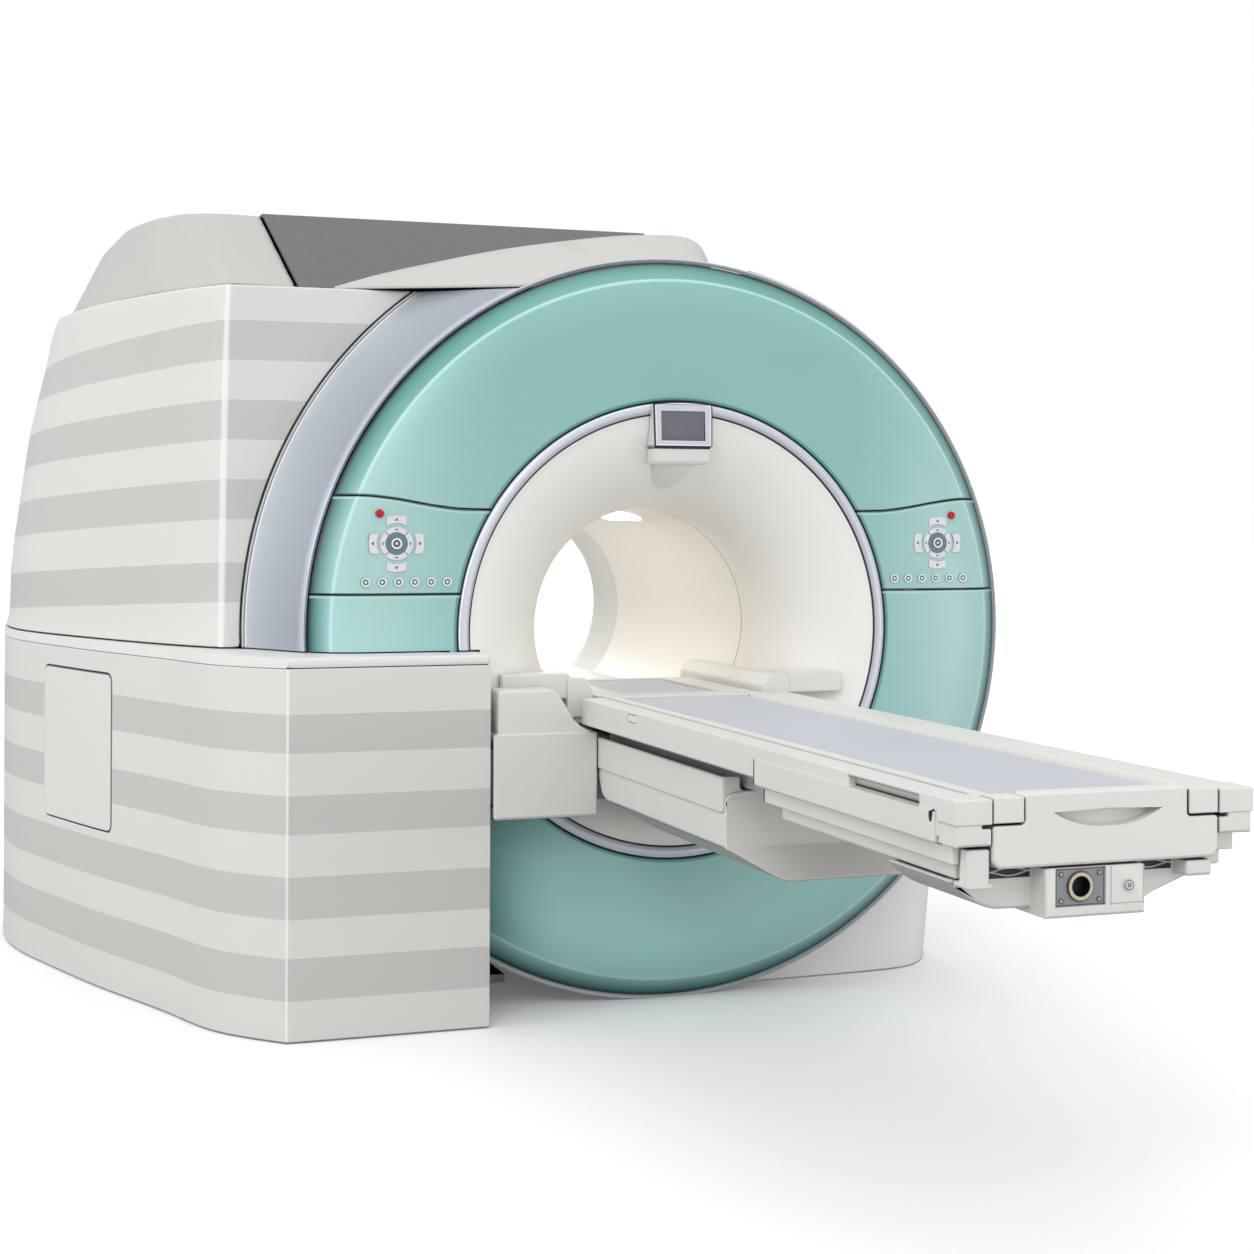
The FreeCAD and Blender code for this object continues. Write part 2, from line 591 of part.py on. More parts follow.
node("bore_bridge", cut("bore_bridge", common("bridge_trimmed", bridge, bore_room),
                        prism_y("guide_bevel_r", [P(262.0, 905.0), P(290.0, 950.0), P(240.0, 950.0)], -40.0, 700.0),
                        prism_y("guide_bevel_l", [P(-262.0, 905.0), P(-240.0, 950.0), P(-290.0, 950.0)], -40.0, 700.0)))
# Lamp lens let into the bore's ceiling, on the right.
lamp_ring = revolve("lamp_ring", rect(S.bore_rad - 2.5, S.bore_rad - 0.5, 700.0, 1130.0))
node("bore_lamp", common("bore_lamp", lamp_ring,
                         prism_z("lamp_plan", [
                             P(90.0, 760.0), P(100.0, 730.0), P(124.0, 712.0), P(148.0, 730.0),
                             P(158.0, 760.0), P(158.0, 1070.0), P(148.0, 1100.0), P(124.0, 1118.0),
                             P(100.0, 1100.0), P(90.0, 1070.0)], 1300.0, 1440.0)))

# ------------------------------------------------------------- curved left side
LOW = [(-1154.0, -118.0), (-1227.0, -41.0), (-1299.0, 50.0), (-1396.0, 293.0),
       (-1534.0, 648.0), (-1682.0, 1085.0), (-1763.0, 1386.0), (-1778.0, 1600.0),
       (-1762.0, 1800.0), (-1730.0, 1942.0)]
HIGH = [(-1268.0, 300.0), (-1398.0, 500.0), (-1520.0, 750.0), (-1664.0, 1085.0),
        (-1755.0, 1386.0), (-1772.0, 1600.0), (-1756.0, 1800.0), (-1724.0, 1942.0)]
LEAN = [(1026.0, 0.0), (1190.0, 13.0), (1370.0, 33.0), (1550.0, 57.0),
        (1690.0, 80.0), (1780.0, 100.0), (1910.0, 130.0), (2050.0, 165.0)]


def shifted(pts, d):
    """The same curve, d further in: towards +X and a little off its normal."""
    out = []
    for i, (x, y) in enumerate(pts):
        a, b = pts[max(i - 1, 0)], pts[min(i + 1, len(pts) - 1)]
        n = math.hypot(b[0] - a[0], b[1] - a[1])
        out.append((x + d * (b[1] - a[1]) / n, y - d * (b[0] - a[0]) / n))
    return out


def spline(pts, z):
    c = Part.BSplineCurve()
    c.interpolate([Vector(x, y, z) for x, y in pts])
    return c.toShape()


def wire(corners, z):
    return Part.makePolygon([Vector(x, y, z) for x, y in corners])


def plan_face(curve, rest, z):
    """A flat face in plan: the curve, closed by straight lines through rest."""
    edge = spline(curve, z)
    loop = [curve[-1]] + rest + [curve[0]]
    return Part.Wire([edge] + wire(loop, z).Edges)


def loft(wires, ruled):
    solid = Part.makeLoft(wires, True, ruled)
    if solid.Volume < 0:
        solid.reverse()
    return solid


def slab(curve, rest, z0, z1):
    return Part.Face(plan_face(curve, rest, z0)).extrude(Vector(0, 0, z1 - z0))


wall = v("wall")
front_y, right_x = v("pillar_front"), v("pillar_right")
rear = v("rear_y")
base_z, lid_z, top_z = 4.0, v("lid_z"), v("pillar_top")

# Base cover: the pillar's front, its right side and the long curved left side.
low_in = shifted(LOW, wall)
front_corner = [(-1140.0, front_y)]
outer_low = slab(LOW, [(-600.0, 1942.0), (-600.0, 296.0), (right_x, 296.0),
                       (right_x, front_y), (-1146.0, front_y)], base_z, lid_z - 1)
inner_low = slab([(low_in[0][0] + 4, front_y + wall)] + low_in[1:-1] + [(low_in[-1][0], 1960.0)],
                 [(-500.0, 1960.0), (-500.0, 280.0), (right_x - wall, 280.0),
                  (right_x - wall, front_y + wall)], -10.0, lid_z + 20)
base = outer_low.cut(inner_low)
base = base.cut(Part.makeBox(1300, 1800, 1200, Vector(-1400, 288, -50)).common(
    Part.makeBox(800, 1800, 1200, Vector(-1300, 288, -50))))
slot_low = 565.0 - v("lift") - 14
base = base.cut(Part.makeBox(40, 20, 400, Vector(right_x - 30, -4, 650)))
slot = Part.makeBox(60, 102, 812.0 - slot_low, Vector(right_x - 40, front_y + wall + 1, slot_low))
base = base.cut(slot)
# the door's opening in the curved side
door_y0, door_y1, door_z0, door_z1 = 640.0, 1100.0, 467.0, 930.0


def round_panel(grow, r):
    """A rounded rectangle in the side view, as a bar along X."""
    y0, y1, z0, z1 = door_y0 - grow, door_y1 + grow, door_z0 - grow, door_z1 + grow
    k = r * (1 - math.sqrt(0.5))
    p = [(y0 + r, z0), (y1 - r, z0), (y1 - k, z0 + k), (y1, z0 + r), (y1, z1 - r),
         (y1 - k, z1 - k), (y1 - r, z1), (y0 + r, z1), (y0 + k, z1 - k), (y0, z1 - r),
         (y0, z0 + r), (y0 + k, z0 + k)]
    q = [Vector(-1850, a, b) for a, b in p]
    edges = []
    for i in (0, 3, 6, 9):
        edges.append(Part.LineSegment(q[i], q[i + 1]).toShape())
        edges.append(Part.Arc(q[i + 1], q[i + 2], q[(i + 3) % 12]).toShape())
    return Part.Face(Part.Wire(edges)).extrude(Vector(500, 0, 0))


base = base.cut(round_panel(3.0, 28.0))
node("left_base_cover", free("left_base_cover", max(base.Solids, key=lambda s: s.Volume)))

door_skin = slab(LOW, [(-1400.0, 1942.0), (-1000.0, 0.0)], door_z0, door_z1).cut(
    slab(shifted(LOW, 6.0), [(-1300.0, 2100.0), (-900.0, -100.0)], 0.0, 1100.0))
door = door_skin.common(round_panel(0.0, 25.0))
node("service_door", free("service_door", max(door.Solids, key=lambda s: s.Volume)))

# Lid: the ledge over the pillar and along the curved side.
ledge_in = [(x, y) for x, y in shifted(HIGH, 26.0)]
lid_outer = slab(LOW, [(-1650.0, 1942.0)] + [(x, y) for x, y in reversed(ledge_in)][1:]
                 + [(-1212.0, 292.0), (right_x, 292.0), (right_x, front_y), (-1146.0, front_y)],
                 lid_z, top_z)
lid_outer = lid_outer.cut(Part.makeBox(110, 20, 80, Vector(-690, -4, lid_z - 20)))
node("pillar_lid", free("pillar_lid", lid_outer))


def side_section(z, lean, inset, x_end, y_end, y_face):
    """One level of the upper left cover: the side leans in more towards the back."""
    pts = []
    for x, y in HIGH:
        w = 0.1 + 0.9 * min(max((y - 300.0) / 1086.0, 0.0), 1.0)
        pts.append((x + lean * w, y))
    if inset:
        pts = shifted(pts, inset)
        pts[0] = (pts[0][0], y_face)
        pts[-1] = (pts[-1][0], y_end)
    return plan_face(pts, [(x_end, y_end), (x_end, y_face)], z)


side_out = loft([side_section(z, d, 0, -340.0, 1942.0, 300.0) for z, d in LEAN], False)
inner_lean = [(1000.0, 0.0)] + LEAN[1:-1] + [(v("body_top") - wall, 163.0)]
side_in = loft([side_section(z, d, wall, -300.0, 1960.0, 308.0) for z, d in inner_lean], False)
side = side_out.cut(side_in)
side = side.cut(Part.makeCylinder(v("band_rad") + 5, 60, Vector(0, 280, v("bore_z")), Vector(0, 1, 0)))
side = side.cut(Part.makeCylinder(172, 60, Vector(-560, v("iso_y"), 2020), Vector(0, 0, 1)))
node("left_cover", free("left_cover", max(side.Solids, key=lambda s: s.Volume)))

# ----------------------------------------------------------- right side and rear
drum_r = 1088.0


def right_outline(d):
    """Front view of the right side: the drum's arc, then down and out to the skirt."""
    r = drum_r - d
    x0 = 254.0 if d == 0 else 200.0
    a = Vector(x0, 0, v("bore_z") + math.sqrt(r * r - x0 * x0))
    th = math.radians(-5.0)
    b = Vector(r * math.cos(th), 0, v("bore_z") + r * math.sin(th))
    m = math.radians(30.0)
    mid = Vector(r * math.cos(m), 0, v("bore_z") + r * math.sin(m))
    z = v("base_top") + 2
    c = Vector(1100.0, 0, z)
    if d:
        run = (b.x + d * math.cos(th) - 1100.0) / (b.z + d * math.sin(th) - z)
        c = Vector(1100.0 - run * 42 - d * math.sqrt(1 + run * run), 0, z - 42)
    return a, mid, b, c


def right_face(d):
    a, mid, b, c = right_outline(d)
    foot = Vector(a.x, 0, c.z)
    return Part.Face(Part.Wire([
        Part.Arc(a, mid, b).toShape(), Part.LineSegment(b, c).toShape(),
        Part.LineSegment(c, foot).toShape(), Part.LineSegment(foot, a).toShape()]))


def right_shell():
    solid = right_face(0).extrude(Vector(0, 1942 - 300, 0))
    solid.translate(Vector(0, 300, 0))
    room = right_face(wall).extrude(Vector(0, 1700, 0))
    room.translate(Vector(0, 308, 0))
    axis = Vector(0, 1, 0)
    hole = Part.makeCylinder(drum_r - wall, 60, Vector(0, 280, v("bore_z")), axis)
    upper = solid.cut(room).cut(hole)
    # the drum's own wall, from behind the disc's rim back to the skirt
    z = v("base_top") + 2
    ring = Part.makeCylinder(drum_r, 216, Vector(0, 92, v("bore_z")), axis).cut(
        Part.makeCylinder(drum_r - wall, 240, Vector(0, 80, v("bore_z")), axis))
    ring = ring.common(Part.makeBox(1200, 300, 2000, Vector(254, 60, z)))
    low = Part.makePolygon([Vector(1100, 562, z), Vector(1040, 562, base_z),
                            Vector(1032, 562, base_z), Vector(1092, 562, z),
                            Vector(1100, 562, z)])
    lower = Part.Face(Part.Wire(low)).extrude(Vector(0, 1942 - 562, 0))
    skin = upper.fuse([ring, lower]).removeSplitter()
    # nothing reaches over the foot of the front base cover
    return skin.cut(Part.makeBox(400, 262, v("base_top") + 6, Vector(880, 299, -4)))


rs = right_shell()
node("right_cover", free("right_cover", max(rs.Solids, key=lambda s: s.Volume)))

BASE_LOW = [(-587.0, 176.0), (-146.0, 160.0), (270.0, 172.0), (506.0, 179.0),
            (718.0, 188.0), (865.0, 223.0), (945.0, 302.0), (1005.0, 420.0), (1040.0, 559.0)]
BASE_HIGH = [(-587.0, 205.0), (-146.0, 190.0), (270.0, 198.0), (506.0, 205.0),
             (740.0, 216.0), (900.0, 246.0), (1000.0, 310.0), (1066.0, 420.0), (1100.0, 559.0)]


def base_section(pts, inset, z):
    if inset:
        pts = shifted(pts, -inset)
        pts = [(-600.0, pts[0][1])] + pts[1:-1] + [(pts[-1][0], 600.0)]
        return plan_face(pts, [(-600.0, 600.0)], z)
    return plan_face(pts, [(-587.0, 559.0)], z)


base_out = loft([base_section(BASE_LOW, 0, base_z), base_section(BASE_HIGH, 0, v("base_top"))], True)
base_in = loft([base_section(BASE_LOW, wall, base_z - 10), base_section(BASE_HIGH, wall, v("base_top") + 10)], True)
front_base = base_out.cut(base_in)
front_base = front_base.cut(Part.makeCylinder(1080.5, 400, Vector(0, 60, v("bore_z")), Vector(0, 1, 0)))
node("front_base_cover", free("front_base_cover", max(front_base.Solids, key=lambda s: s.Volume)))

rear_low = [(-1716.0, base_z), (-1716.0, 1022.0)]
rear_pts = [Vector(-1716, 0, base_z), Vector(-1716, 0, 1022), Vector(-1690, 0, 1370),
            Vector(-1640, 0, 1690), Vector(-1552, 0, 2048), Vector(-1376, 0, 2335),
            Vector(-1330, 0, 2346), Vector(250, 0, 2346),
            Vector(250, 0, v("bore_z") + math.sqrt(drum_r ** 2 - 250.0 ** 2))]
rr = Part.makePolygon(rear_pts).Edges
a, mid, b, c = right_outline(0)
corner = Vector(250, 0, v("bore_z") + math.sqrt(drum_r ** 2 - 250.0 ** 2))
rr += [Part.Arc(corner, mid, b).toShape(),
       Part.LineSegment(b, Vector(1100, 0, 620)).toShape(),
       Part.LineSegment(Vector(1100, 0, 620), Vector(1040, 0, base_z)).toShape(),
       Part.LineSegment(Vector(1040, 0, base_z), Vector(-1716, 0, base_z)).toShape()]
plate = Part.Face(Part.Wire(rr)).extrude(Vector(0, wall, 0))
plate.translate(Vector(0, rear - 7, 0))
rear_plate = free("rear_plate", plate)
flare = revolve("rear_flare", [
    P(S.bore_rad, S.liner_rear + 1), P(S.bore_rad, 1780.0), M(S.bore_rad + 26, 1868.0),
    P(S.bore_rad + 110, S.rear_y - 3), P(S.bore_rad + 120, S.rear_y + 1),
    P(S.bore_rad + 130, S.rear_y - 7), M(S.bore_rad + 38, 1868.0),
    P(S.bore_rad + 8, 1780.0), P(S.bore_rad + 8, S.liner_rear + 1)])
node("rear_cover", fuse("rear_cover",
                        cut("rear_holed", rear_plate,
                            cyl("rear_hole", "y", S.bore_rad + 118, 60.0, 0.0, S.rear_y - 30, zc)),
                        flare))

# --------------------------------------------------------------------- top parts
roof = fuse("roof_panel",
            prism_x("roof_sheet", [
                P(370.0, 2058.0), P(1000.0, 2350.0), P(1941.0, 2350.0), P(1941.0, 2342.0),
                P(1003.0, 2342.0), P(384.0, 2055.0)], -1034.0, 250.0),
            prism_x("roof_end", [
                P(620.0, 2165.0), P(1003.0, 2343.0), P(1941.0, 2343.0), P(1941.0, 2134.0),
                P(808.0, 2134.0), P(808.0, 2165.0)], 242.0, 250.0))
node("roof_panel", roof)

CREST = [(-935.0, 2060.0), (-800.0, 2102.0), (-615.0, 2149.0), (-430.0, 2191.0),
         (-285.0, 2217.0), (-140.0, 2239.0), (-10.0, 2253.0), (90.0, 2257.0),
         (160.0, 2251.0), (197.0, 2231.0), (222.0, 2192.0), (238.0, 2124.0)]


def arch_section(y, curve, floor_z):
    pts = [Vector(x, y, z) for x, z in curve]
    c = Part.BSplineCurve()
    c.interpolate(pts)
    a, b = pts[0], pts[-1]
    low_a, low_b = Vector(a.x - 0.5, y, floor_z), Vector(b.x + 2, y, floor_z)
    return Part.Wire([c.toShape(), Part.LineSegment(b, low_b).toShape(),
                      Part.LineSegment(low_b, low_a).toShape(),
                      Part.LineSegment(low_a, a).toShape()])


def rim(r, x0, x1, n=12):
    out = []
    for i in range(n):
        x = x0 + (x1 - x0) * i / (n - 1)
        out.append((x, v("bore_z") + math.sqrt(r * r - x * x)))
    return out


arch_floor = v("body_top") + 3
arch = loft([arch_section(86.0, rim(1080.0, -436.0, 128.0), arch_floor),
             arch_section(350.0, CREST, arch_floor)], True)
crown = Part.Face(arch_section(350.0, CREST, arch_floor)).extrude(Vector(0, 450, 0))
under_roof = Part.Face(Part.makePolygon([
    Vector(-1200, 300, 2027), Vector(-1200, 1010, 2356.1), Vector(-1200, 1010, 1990),
    Vector(-1200, 300, 1990), Vector(-1200, 300, 2027)])).extrude(Vector(1700, 0, 0))
arch = arch.fuse(crown).cut(under_roof)
hollow = arch.copy()
hollow.translate(Vector(-6, 8, -8))
arch = arch.cut(hollow)
node("top_arch_cover", free("top_arch_cover", max(arch.Solids, key=lambda s: s.Volume)))

HOOD_BASE = [(-1037.0, 372.0), (-1236.0, 330.0), (-1398.0, 700.0), (-1500.0, 1080.0),
             (-1570.0, 1386.0), (-1560.0, 1940.0), (-1037.0, 1940.0)]
HOOD_TOP = [(-1037.0, 1002.0), (-1180.0, 990.0), (-1290.0, 1040.0), (-1352.0, 1180.0),
            (-1372.0, 1386.0), (-1372.0, 1940.0), (-1037.0, 1940.0)]


def poly(pts, z):
    return Part.makePolygon([Vector(x, y, z) for x, y in pts + pts[:1]])


def inward(pts, d):
    cx = sum(p[0] for p in pts) / len(pts)
    cy = sum(p[1] for p in pts) / len(pts)
    out = []
    for x, y in pts:
        out.append((x + (d if x < cx else -d), y + (d if y < cy else -d)))
    return out


hood_out = loft([poly(HOOD_BASE, v("body_top") + 2), poly(HOOD_TOP, 2346.0)], True)
hood_in = loft([poly(inward(HOOD_BASE, 10.0), v("body_top") - 8),
                poly(inward(HOOD_TOP, 10.0), 2337.0)], True)
hood = hood_out.cut(hood_in)
node("left_hood", free("left_hood", max(hood.Solids, key=lambda s: s.Volume)))

# Cold head of the cryocooler, upright on the turret under the roof.
node("cold_head", fuse("cold_head",
                       cyl("head_flange", "z", 95.0, 18.0, -560.0, S.iso_y, 2073.0),
                       cyl("head_body", "z", 62.0, 115.0, -560.0, S.iso_y, 2090.0),
                       cyl("head_motor", "y", 42.0, 150.0, -560.0, S.iso_y - 75, 2228.0)))

# ------------------------------------------------------------ lift in the pillar
# Column with two rails and, on the same foot, the barrel of the lifting
# cylinder, whose rod carries the carriage.
node("lift_column", cut("lift_column", fuse(
    "lift_column_solid",
    box("column", -1010.0, -880.0, -30.0, 170.0, 12.0, 950.0),
    box("column_foot", -1060.0, -640.0, -60.0, 210.0, 0.0, 14.0),
    box("rail_a", -881.0, -862.0, -10.0, 20.0, 60.0, 940.0),
    box("rail_b", -881.0, -862.0, 120.0, 150.0, 60.0, 940.0),
    cyl("barrel", "z", 35.0, 426.0, -780.0, 60.0, 13.0)),
    cyl("barrel_bore", "z", 25.0, 420.0, -780.0, 60.0, 25.0)))
shoes = []
for zz, tag in ((562.0, "low"), (740.0, "high")):
    for yy, side_tag in ((-26.0, "a"), (20.6, "b"), (104.0, "c"), (150.6, "d")):
        shoes.append(box("shoe_%s_%s" % (tag, side_tag), -876.0, -857.0, yy, yy + 15.4, zz, zz + 60))
node("lift_carriage", fuse(
    "lift_carriage",
    box("carriage_plate", -858.0, -822.0, -100.0, 172.0, 560.0, 820.0),
    box("rod_bracket", -823.0, -745.0, 25.0, 95.0, 800.0, 820.0),
    cyl("lift_rod", "z", 18.0, 420.0, -780.0, 60.0, 385.0),
    box("arm", -823.0, -232.0, -100.0, -40.0, 610.0, 760.0), *shoes))

# ------------------------------------------------------------------------- table
half_t = 320.0
cross = fuse("crossbeam_shape",
             box("cross_low", -586.0, -288.0, -123.0, -22.0, 565.0, 800.0),
             prism_y("cross_high", [
                 P(-574.0, 798.0), P(-574.0, 922.0), P(-417.0, 922.0), P(-398.0, 908.0),
                 P(-376.0, 874.0), P(-352.0, 834.0), P(-330.0, 815.0), P(-300.0, 804.0),
                 P(-289.0, 798.0)], -116.0, -22.0))
node("crossbeam_cover", cut("crossbeam_cover", cross,
                            box("arm_room", -640.0, -200.0, -105.0, -35.0, 600.0, 775.0),
                            box("high_room", -566.0, -425.0, -108.0, -30.0, 774.0, 914.0)))

beams = []
for s_, tag in ((-1, "l"), (1, "r")):
    lo, hi = sorted((s_ * 172.0, s_ * 230.0))
    beams.append(box("frame_beam_" + tag, lo, hi, -2188.0, -60.0, 760.0, S.board_low - 0.4))
for i, yy in enumerate((-2180.0, -1660.0, -1110.0, -560.0, -110.0)):
    beams.append(box("frame_cross_%d" % i, -180.0, 180.0, yy, yy + 50, 770.0, 826.0))
node("table_frame", fuse("table_frame", *beams))

for s_, word in ((-1, "left"), (1, "right")):
    def sbox(name, a, b, y0, y1, z0, z1):
        lo, hi = sorted((s_ * a, s_ * b))
        return box(name + "_" + word, lo, hi, y0, y1, z0, z1)

    pieces = [sbox("beam", 252.0, half_t, -2180.0, S.beam_rear, S.beam_low, S.table_top),
              sbox("beam_web", 232.0, 256.0, -2170.0, -90.0, 800.0, 834.0),
              sbox("corner_high", 246.0, half_t + 3, -2250.0, -2176.0, 846.0, 893.0),
              sbox("corner_low", 247.0, half_t - 1, -2247.0, -2172.0, 805.0, 848.0),
              sbox("tier_one", 300.0, half_t + 6, -2170.0, -1313.0, 803.0, 862.0),
              sbox("tier_two", 262.0, 308.0, -2205.0, -1330.0, 767.0, 820.0),
              sbox("tier_three", 244.0, 290.0, -2186.0, -1392.0, 736.0, 770.0)]
    beam_all = fuse("side_beam_all_" + word, *pieces)
    node("side_beam_" + word, cut("side_beam_" + word, beam_all,
                                  sbox("grab_slot", 300.0, 350.0, -2097.0, -1790.0, 862.0, 884.0),
                                  cyl("side_hole_" + word, "x", 7.0, 26.0,
                                      s_ * 317.0 - 13.0, -2158.0, 858.0),
                                  sbox("slide_channel", 200.0, 266.0, -2260.0, 0.0, 838.0, 845.0)))

node("keel_cover", cut(
    "keel_cover",
    common("keel_shape",
           prism_x("keel_side", [
               P(-150.0, 612.0), P(-170.0, 600.0), P(-250.0, 543.0), P(-1112.0, 543.0),
               P(-1118.0, 549.0), P(-1046.0, 614.0), P(-1042.0, 620.0), P(-1039.0, 751.0),
               P(-1031.0, 751.0), P(-1031.0, 612.0)], -280.0, 280.0),
           prism_y("keel_front", [
               P(-279.0, 617.0), P(-157.0, 543.0), P(157.0, 543.0), P(279.0, 617.0),
               P(279.0, 712.0), M(273.0, 737.0), P(254.0, 747.0), P(230.0, 751.0),
               P(-230.0, 751.0), P(-254.0, 747.0), M(-273.0, 737.0), P(-279.0, 712.0)],
               -1130.0, -140.0)),
    common("keel_void",
           prism_x("keel_void_side", [
               P(-186.0, 640.0), P(-186.0, 600.0), P(-256.0, 551.0), P(-1098.0, 551.0),
               P(-1038.0, 606.0), P(-1038.0, 612.0), P(-1020.0, 640.0)], -271.0, 271.0),
           prism_y("keel_void_front", [
               P(-267.0, 618.0), P(-153.0, 551.0), P(153.0, 551.0), P(267.0, 618.0),
               P(267.0, 660.0), P(-267.0, 660.0)],
               -1130.0, -100.0))))
node("drive_cover", cut(
    "drive_cover",
    fuse("drive_outer",
         prism_x("drive_low", [
             P(-1030.0, 614.0), P(-175.0, 614.0), P(-138.0, 626.0), P(-120.0, 652.0),
             P(-84.0, 700.0), P(-84.0, 720.0), P(-1030.0, 720.0)], -280.0, 280.0),
         box("drive_high", -286.0, 286.0, -1030.0, -84.0, 700.0, 785.0)),
    prism_x("drive_room", [
        P(-1023.0, 621.0), P(-178.0, 621.0), P(-143.0, 632.0), P(-126.0, 656.0),
        P(-91.0, 703.0), P(-91.0, 800.0), P(-1023.0, 800.0)], -273.0, 273.0),
    box("drive_notch", -238.0, 238.0, -1100.0, 0.0, 752.0, 800.0),
    box("arm_notch", -300.0, -225.0, -108.0, -30.0, 602.0, 790.0)))
hull = fuse("foot_hull",
            prism_y("hull_outline", [
                P(-300.0, 732.0), M(-262.0, 699.0), P(-205.0, 677.0), P(100.0, 672.0),
                P(134.0, 690.0), P(238.0, 730.0), P(238.0, 734.0), P(-300.0, 734.0)],
                -2190.0, -1930.0),
            prism_x("hull_tail", [
                P(-1932.0, 734.0), P(-1870.0, 734.0), P(-1870.0, 716.0), P(-1932.0, 690.0)],
                -225.0, 150.0),
            box("hull_top", -236.0, 236.0, -2190.0, -1930.0, 730.0, 758.0),
            box("connector_box", -133.0, 82.0, -2246.0, -2080.0, 664.0, 757.0),
            box("hull_lug_left", -293.0, -246.0, -2240.0, -2208.0, 728.0, 800.0),
            box("hull_lug_base", -293.0, -240.0, -2240.0, -2150.0, 727.0, 734.5),
            box("hull_lug_right", 177.0, 234.0, -2240.0, -2180.0, 726.0, 757.0))
node("foot_housing", cut(
    "foot_housing", hull,
    box("plate_room", -112.5, -4.5, -2260.0, -2241.0, 684.5, 756.5),
    cyl("socket_room", "y", 26.0, 60.0, -60.0, -2250.0, 722.0),
    cyl("release_room", "y", 10.5, 60.0, 44.0, -2260.0, 719.0),
    box("hull_room", -190.0, 190.0, -2180.0, -1942.0, 692.0, 770.0)))
node("connector_socket", cut(
    "connector_socket",
    fuse("socket_shape",
         box("socket_plate", -112.0, -5.0, -2245.5, -2241.5, 685.0, 756.0),
         cyl("socket_body", "y", 25.5, 44.0, -60.0, -2243.0, 722.0),
         cyl("socket_rim", "y", 26.5, 8.0, -60.0, -2250.0, 722.0),
         *[cyl("socket_screw_%d" % n, "y", 5.0, 5.0, sx, -2248.0, sz) for n, (sx, sz) in
           enumerate(((-101.0, 746.0), (-19.0, 746.0), (-101.0, 696.0), (-19.0, 696.0)))]),
    cyl("socket_hole", "y", 19.0, 34.0, -60.0, -2260.0, 722.0)))
node("release_button", fuse(
    "release_button",
    cyl("release_cap", "y", 10.0, 30.0, 44.0, -2251.0, 719.0)))

lens = prism_y("grip_lens", [P(-118.0, 862.0), P(0.0, 866.0), P(118.0, 862.0),
                             M(70.0, 841.0), P(0.0, 833.0), M(-70.0, 841.0)],
               -2260.0, -2222.0)
node("end_panel", cut(
    "end_panel",
    prism_y("end_outline", [
        P(-244.0, 842.0), P(-176.0, 842.0), P(-176.0, 899.0), P(176.0, 899.0),
        P(176.0, 842.0), P(244.0, 842.0), P(244.0, 774.0), P(232.0, 761.0),
        P(-232.0, 761.0), P(-244.0, 774.0)], -2247.0, -2200.0), lens,
    box("end_room", -150.0, 150.0, -2214.0, -2190.0, 771.0, 826.0)))

# Sliding tabletop with its two rails, and the mat it carries.
board = fuse("board_shape",
             prism_y("board_section", [
                 P(-S.board_half, S.board_low + 5), P(-S.board_half + 5, S.board_low),
                 P(S.board_half - 5, S.board_low), P(S.board_half, S.board_low + 5),
                 P(S.board_half, S.table_top), P(208.0, S.table_top), P(200.0, 873.0),
                 P(-200.0, 873.0), P(-208.0, S.table_top), P(-S.board_half, S.table_top)],
                 -2196.0, -12.0),
             box("board_end_strip", -202.0, 202.0, -46.0, -12.0, 860.0, 888.0))
for s_, tag in ((-1, "l"), (1, "r")):
    lo, hi = sorted((s_ * 179.0, s_ * 243.0))
    board = fuse("board_with_block_" + tag, board,
                 box("rail_block_" + tag, lo, hi, -2247.0, -2190.0, 846.0, 894.0))
node("tabletop", board)
node("table_mat", box("table_mat", -S.pad_half, S.pad_half, -2140.0, -54.0, 873.4, S.pad_top - 2))
# Bore carriage: it waits in the bore's mouth and takes the tabletop in.
carriage = prism_z("carriage_plan", [
    P(-S.board_half, -4.0), P(S.board_half, -4.0), P(S.board_half, 470.0),
    M(225.0, 535.0), P(160.0, 560.0), P(-160.0, 560.0), M(-225.0, 535.0),
    P(-S.board_half, 470.0)], S.board_low, S.table_top - 1)
node("bore_carriage", cut("bore_carriage", carriage,
                          box("carriage_recess", -154.0, 154.0, 36.0, 530.0, 873.0, 920.0)))
node("head_mat", box("head_mat", -S.head_half, S.head_half, 40.0, 526.0, 873.4, S.pad_top - 2))

# ------------------------------------------------------------------------ output
doc.recompute()
bad = [o.Name + ": " + o.getStatusString() for o in doc.Objects
       if "Invalid" in o.State or "Error" in o.State]
if bad:
    raise RuntimeError("failed objects: %s" % bad)
for label, obj in FINAL:
    shape = obj.Shape
    if shape.isNull() or not shape.isValid() or not shape.Solids:
        raise RuntimeError("bad shape: %s" % label)
    shape.exportStep("parts/%s.step" % label)
    b = shape.BoundBox
    print("%-20s solids %d vol %.1f x %.0f..%.0f y %.0f..%.0f z %.0f..%.0f" % (
        label, len(shape.Solids), shape.Volume / 1e6, b.XMin, b.XMax,
        b.YMin, b.YMax, b.ZMin, b.ZMax))
print("nodes:", len(FINAL))
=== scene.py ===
import bpy
import bmesh
import json
import math
from mathutils import Matrix, Vector

